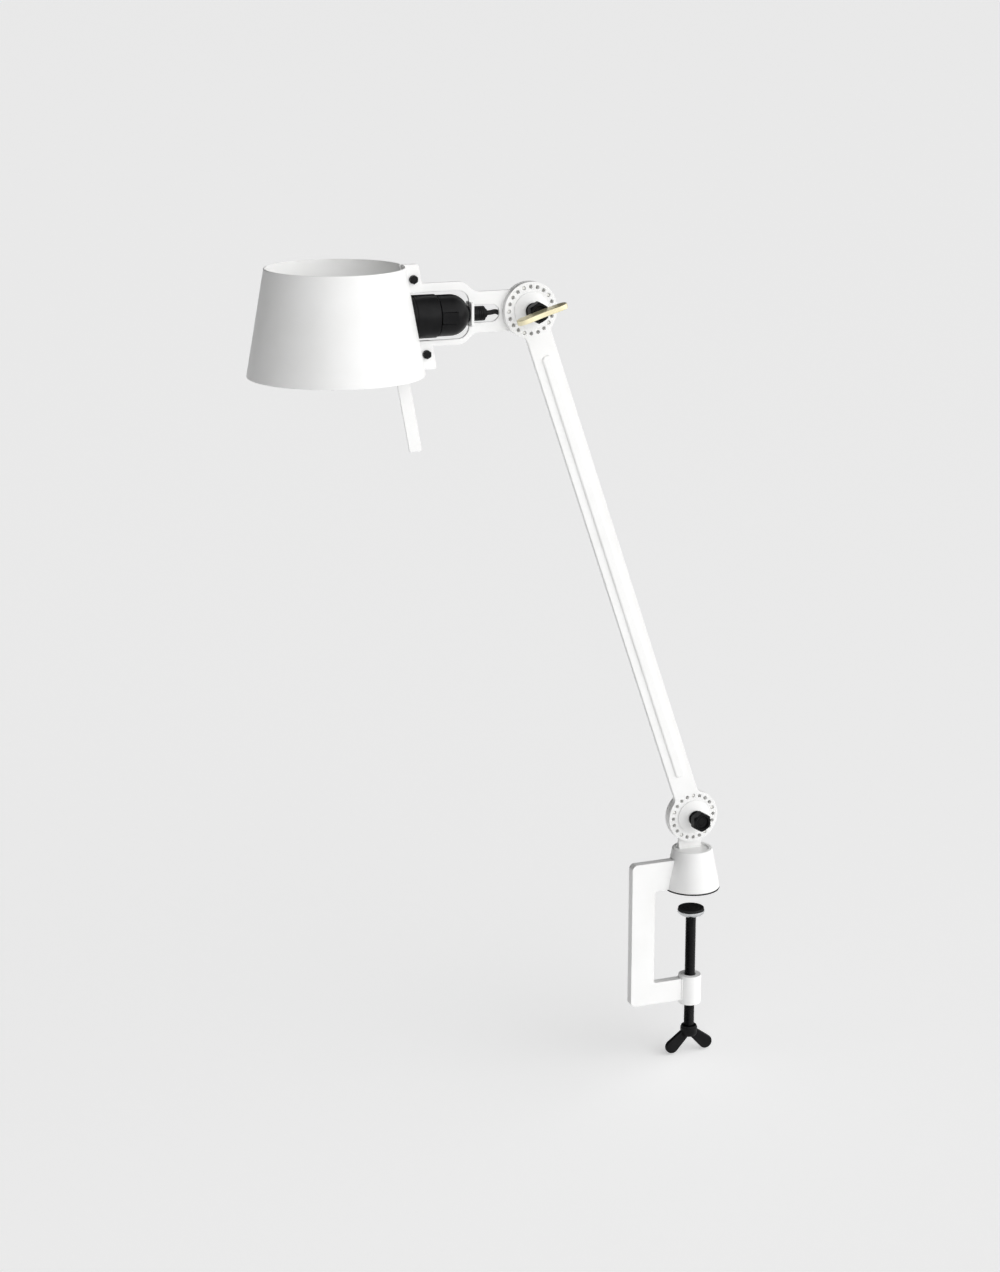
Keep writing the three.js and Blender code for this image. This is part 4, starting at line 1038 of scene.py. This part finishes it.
def make_seam_bolt(which, height):
    x, z = seam_place(height)
    front = HEAD_Y - HEAD_SHEET / 2 - SHADE_SHEET - 2 * GAP
    head = hexagon("y", SEAM_BOLT_FLATS, front - 3.5, front)
    rim = SEAM_BOLT_FLATS / 2 + 0.4
    washer = lathe("y", [
        (0, front - 0.5, 0), (rim, front - 0.5, 0.2),
        (rim, front, 0.1), (0, front, 0),
    ], 64)
    shank = thread("y", SEAM_BOLT_RADIUS, 0.35, 0.8, front - 1, front + 13, 32)
    screw = moved(joined(head, washer, shank), x, 0, z)
    add("seam_screw_" + which, screw, HEAD, "head", "black_steel", "seam_bolt_" + which)
    back = HEAD_Y + HEAD_SHEET / 2 + SHADE_SHEET + 2 * GAP
    nut = hexagon("y", SEAM_BOLT_FLATS, back, back + 4, bore=SEAM_BOLT_RADIUS + 0.05)
    moved(nut, x, 0, z)
    add("seam_locknut_" + which, nut, HEAD, "head", "black_steel", "seam_nut_" + which)


# ---------------------------------------------------------------- lampholder, bulb and lead


def on_axis(name, mesh, finish, node, sharp=30):
    """Adds a piece that was drawn about the lampholder's axis."""
    add(name, moved(mesh, 0, HEAD_Y, HOLDER_Z), HEAD, "head", finish, node, sharp=sharp)


def make_holder():
    wall = 2.6
    inside = COLLAR_RADIUS - wall
    collar = lathe("x", [
        (inside, COLLAR_START, 0.4), (COLLAR_RADIUS, COLLAR_START, 0.8),
        (COLLAR_RADIUS, -128, 0.2), (COLLAR_RADIUS - 0.5, -127.6, 0.2),
        (COLLAR_RADIUS - 0.5, -126.4, 0.2), (COLLAR_RADIUS, -126, 0.2),
        (COLLAR_RADIUS, COLLAR_END - 1.2, 0.8), (COLLAR_RADIUS - 1.6, COLLAR_END, 0.6),
        (inside, COLLAR_END, 0.4),
    ], sides=128, closed=True)
    on_axis("holder_shade_ring", collar, "black_plastic", "holder_collar")

    end = TAB_FACE - HEAD_SHEET - GAP
    start = COLLAR_END + GAP
    bend = 19
    outer = []
    for i in range(17):
        angle = math.radians(68) * i / 16
        radius = DOME_RADIUS - bend * (1 - math.cos(angle))
        outer.append((radius, end - 1.4 - bend * (1 - math.sin(angle))))
    inner = [(radius - 2.4, along - 1.5) for radius, along in reversed(outer)]
    dome = revolve("x", [
        (DOME_RADIUS - 2.4, start), (DOME_RADIUS - 0.4, start),
        (DOME_RADIUS, start + 0.4), (DOME_RADIUS, start + 2),
        *outer,
        (8, end - 0.2), (7.6, end),
        (NIPPLE_RADIUS + CLEAR, end), (NIPPLE_RADIUS + CLEAR, end - 2.4),
        *inner,
    ], 128, closed=True)
    across, up, middle = ROCKER_HALF + 0.6, ROCKER_HALF_HEIGHT + 0.5, ROCKER_Z - HOLDER_Z
    pocket = block((ROCKER_X - across, -DOME_RADIUS - 1, middle - up),
                   (ROCKER_X + across, -12, middle + up), 0.9)
    on_axis("holder_cap", cut(dome, pocket), "black_plastic", "holder_dome")

    floor = INSERT_END - 4.5
    insert = lathe("x", [
        (INSERT_BORE, INSERT_START, 0.3), (INSERT_RADIUS, INSERT_START, 0.5),
        (INSERT_RADIUS, INSERT_END, 0.4), (0, INSERT_END, 0),
        (0, floor, 0), (INSERT_BORE, floor, 0.5),
    ], closed=True)
    on_axis("holder_porcelain", insert, "nylon", "holder_insert")
    low, high = floor - 1.1, floor - 0.3
    contact = lathe("x", [(0, low, 0), (4, low, 0.3), (4, high, 0.1), (0, high, 0)], 48)
    on_axis("holder_centre_contact", contact, "brass", "holder_contact")
    nipple = thread("x", NIPPLE_RADIUS, 0.35, 1, NIPPLE_START, NIPPLE_END, 48)
    on_axis("holder_thread", nipple, "bare_steel", "holder_nipple")


def make_rocker():
    """The switch rocker, with a dished face either side of its middle."""
    front = HEAD_Y - DOME_RADIUS - 1.4
    base = front + 3.6
    shares = [i / 10 for i in range(11)]
    high_half = [(ROCKER_HALF * share, 2.2 + 1.2 * share**1.6) for share in shares[:0:-1]]
    low_half = [(-ROCKER_HALF * share, 2.2 - share**0.8) for share in shares]
    section = [(-ROCKER_HALF, 0), (ROCKER_HALF, 0), *high_half, *low_half]
    outline = [(ROCKER_X + x, base - rise) for x, rise in section]
    low, high = -ROCKER_HALF_HEIGHT - ROCKER_Z, ROCKER_HALF_HEIGHT - ROCKER_Z
    rocker = turned(plate(outline, low, high, 0.5, steps=3), FLAT)
    add("switch_rocker_key", rocker, HEAD, "rocker", "black_plastic", "rocker_switch")


def make_gland():
    start = TAB_FACE + GAP
    bore = LEAD_RADIUS + 0.1
    grooves = []
    for along in (start + 5, start + 7, start + 9):
        grooves += [(GLAND_RADIUS, along, 0.1), (GLAND_RADIUS - 0.4, along + 0.2, 0.1),
                    (GLAND_RADIUS - 0.4, along + 0.7, 0.1), (GLAND_RADIUS, along + 0.9, 0.1)]
    gland = lathe("x", [
        (NIPPLE_RADIUS + CLEAR, start, 0.2), (GLAND_RADIUS, start, 0.5),
        *grooves,
        (GLAND_RADIUS, GLAND_STEP, 0.5), (GLAND_RADIUS - 2.6, GLAND_STEP, 0.3),
        (GLAND_RADIUS - 3, GLAND_END, 0.6), (bore + 0.5, GLAND_END, 0.3),
        (bore, GLAND_END - 0.8, 0.2), (bore, -57, 0),
        (NIPPLE_RADIUS + CLEAR, -57, 0),
    ], closed=True)
    on_axis("gland_body", gland, "black_plastic", "cable_gland")


def make_bulb():
    pitch, low, high = 3.6, CAP_END + 2, -117
    rows = [(12.2, CAP_END), (13.2, CAP_END), (13.2, CAP_END + 1)]
    count = 60
    for i in range(count + 1):
        along = low + (high - low) * i / count

        def wave(angle, along=along):
            return 12.6 + 0.6 * math.cos(FULL * along / pitch - angle)

        rows.append((wave, along))
    rows += [(12.6, -115.2), (6, -111), (6, -110.4), (5.4, -110), (0, -110)]
    on_axis("bulb_screw_cap", revolve("x", rows, 64), "bare_steel", "bulb_cap", sharp=45)
    globe = []
    for degrees in range(0, 129, 4):
        angle = math.radians(degrees)
        globe.append((BULB_RADIUS * math.sin(angle), BULB_MIDDLE - BULB_RADIUS * math.cos(angle)))
    end = CAP_END - GAP
    neck = [(18.4, -168), (16.5, -162), (14.6, -154), (13.6, -147), (13.5, end), (12.8, end)]
    envelope = revolve("x", [*globe, *neck], 96)
    on_axis("bulb_envelope", envelope, "frosted_glass", "bulb_glass", sharp=50)


def on_arm(distance, y):
    """A place on the arm's middle line, at a distance from the elbow, in the head's frame."""
    return distance * math.sin(ARM_TILT), y, -distance * math.cos(ARM_TILT)


# The lead's route from the gland, through the slot, round the elbow and into the arm.
LEAD_TURN = (-20, HEAD_Y + 11.6, -10.6)
HEAD_LEAD = [
    (GLAND_END - 4, HEAD_Y, HOLDER_Z), (GLAND_END + 1, HEAD_Y + 0.1, HOLDER_Z),
    (-40, HEAD_Y + 2.4, HOLDER_Z), (-36.2, HEAD_Y + 5, HOLDER_Z),
    (-32.5, HEAD_Y + 8, HOLDER_Z - 0.3), (-27, HEAD_Y + 10.8, -4.2),
    LEAD_TURN,
]
LOOP_FOOT = on_arm(46, HEAD_Y + 2.8)  # from here down, the loop runs along the arm's middle line
ELBOW_LOOP = [
    LEAD_TURN,
    (-9.5, HEAD_Y + 12, -18.2), (0, HEAD_Y + 11, -26),
    (8.2, HEAD_Y + 8, -34),
    LOOP_FOOT,
    on_arm(54, ARM_LEAD_Y + 2.4),
    on_arm(60, ARM_LEAD_Y + 0.2),
    on_arm(LOOP_END, ARM_LEAD_Y),
]


def make_lead():
    at_head = tube(smooth_path(HEAD_LEAD), LEAD_RADIUS)
    add("lead_from_gland", at_head, HEAD, "head", "rubber", "lead_at_head", sharp=60)
    loop = tube(smooth_path(ELBOW_LOOP, 14), LEAD_RADIUS)
    piece = add("lead_loop", loop, HEAD, None, "rubber", "lead_elbow_loop", sharp=60)
    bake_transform(piece)
    top = ARM_LENGTH - LOOP_END + 0.4
    heights = [LEAD_EXIT + 0.1 + (top - LEAD_EXIT) * i / 60 for i in range(61)]
    places = [Vector((0.25 * math.sin(z / 23), ARM_LEAD_Y, z)) for z in heights]
    run = tube(places, LEAD_RADIUS - 0.02)
    add("lead_in_groove", run, ARM, "arm", "rubber", "lead_in_arm", sharp=60)
    foot = LEAD_EXIT - 14
    ribs = []
    for i in range(4):
        along = foot + 1.6 + i * 2.4
        radius = 2.8 + 0.12 * i
        ribs += [
            (radius, along, 0.2), (radius - 0.5, along + 0.3, 0.1),
            (radius - 0.5, along + 1, 0.1), (radius + 0.1, along + 1.3, 0.2),
        ]
    foot_rows = [(0, foot, 0), (2.7, foot, 0.4)]
    head_rows = [(3.4, LEAD_EXIT - 2, 0.3), (3.4, LEAD_EXIT, 0.4), (0, LEAD_EXIT, 0)]
    outlet = moved(lathe("z", [*foot_rows, *ribs, *head_rows], 48), 0, ARM_LEAD_Y + 0.9, 0)
    add("lead_strain_relief", outlet, ARM, "arm", "black_plastic", "lead_outlet")


# ---------------------------------------------------------------- assembly

make_clamp_frame()
make_clamp_boss()
make_clamp_screw()
make_wing_handle()
make_pressure_foot()
make_base_cup()
make_set_screw("cup_set_screw_left", -SET_SCREW_X)
make_set_screw("cup_set_screw_right", SET_SCREW_X)
make_tongue()
make_arm()
make_index_ring("lower_index_ring", 0, 1)
make_index_ring("elbow_index_ring", ARM_LENGTH, 0)
make_clip("lead_clip_upper", 440)
make_clip("lead_clip_middle", 300)
make_clip("lead_clip_lower", 160)
make_lower_pivot()
make_elbow_pivot()
make_bracket()
make_shade()
for which, bolt_height in SEAM_BOLTS.items():
    make_seam_bolt(which, bolt_height)
make_holder()
make_rocker()
make_gland()
make_bulb()
make_lead()

KEPT_NODES = {
    "swivel_thrust_washer": "nylon",
    "swivel_washer": "bare_steel",
    "swivel_nut": "bare_steel",
}
for node, finish in KEPT_NODES.items():
    frame["nodes"][node].data.materials.clear()
    frame["nodes"][node].data.materials.append(FINISHES[finish])

# ---------------------------------------------------------------- stage, light and camera


def make_floor():
    """A plain pale floor just under the clamp's handle, far wider than the view."""
    half = 60
    below = cad_bounds[0][2] - 0.002
    mesh = bpy.data.meshes.new("floor")
    corners = [(x * half, y * half, below) for x, y in ((-1, -1), (1, -1), (1, 1), (-1, 1))]
    mesh.from_pydata(corners, [], [(0, 1, 2, 3)])
    material = bpy.data.materials.new("floor")
    material.use_nodes = True
    shader = material.node_tree.nodes["Principled BSDF"]
    looks = {"Base Color": (0.8, 0.8, 0.8, 1), "Roughness": 0.9, "Specular IOR Level": 0.1,
             "Emission Color": (1, 1, 1, 1), "Emission Strength": 0.4}
    for socket, value in looks.items():
        shader.inputs[socket].default_value = value
    mesh.materials.append(material)
    floor = bpy.data.objects.new("floor", mesh)
    scene.collection.objects.link(floor)


def make_light():
    """Soft studio light from the front right. The camera itself sees an even pale wall."""
    towards = Vector((0.619, -0.785, 0)).normalized()
    wall = 0.81
    world = bpy.data.worlds.new("studio")
    world.use_nodes = True
    scene.world = world
    tree = world.node_tree
    place = tree.nodes.new("ShaderNodeTexCoord")
    dot = tree.nodes.new("ShaderNodeVectorMath")
    dot.operation = "DOT_PRODUCT"
    dot.inputs[1].default_value = towards
    tree.links.new(place.outputs["Generated"], dot.inputs[0])
    ray = tree.nodes.new("ShaderNodeLightPath")
    strength = tree.nodes.new("ShaderNodeMix")
    tree.links.new(ray.outputs["Is Camera Ray"], strength.inputs["Factor"])
    tree.links.new(ramp(tree, dot.outputs["Value"], 0, 2.5, 0, 1), strength.inputs["A"])
    strength.inputs["B"].default_value = wall
    tree.links.new(strength.outputs["Result"], tree.nodes["Background"].inputs["Strength"])
    tree.nodes["Background"].inputs["Color"].default_value = (1, 1, 1, 1)


def make_camera():
    data = bpy.data.cameras.new("camera")
    data.lens = 76.45
    data.sensor_width = 36
    camera = bpy.data.objects.new("camera", data)
    camera.location = (-1.24066, -2.5366 + ARM_FRONT * MM, 1.0363)
    camera.rotation_euler = (math.radians(75.1), 0, math.radians(-21.75))
    scene.collection.objects.link(camera)
    scene.camera = camera


make_floor()
make_light()
make_camera()
scene.view_settings.view_transform = "Standard"
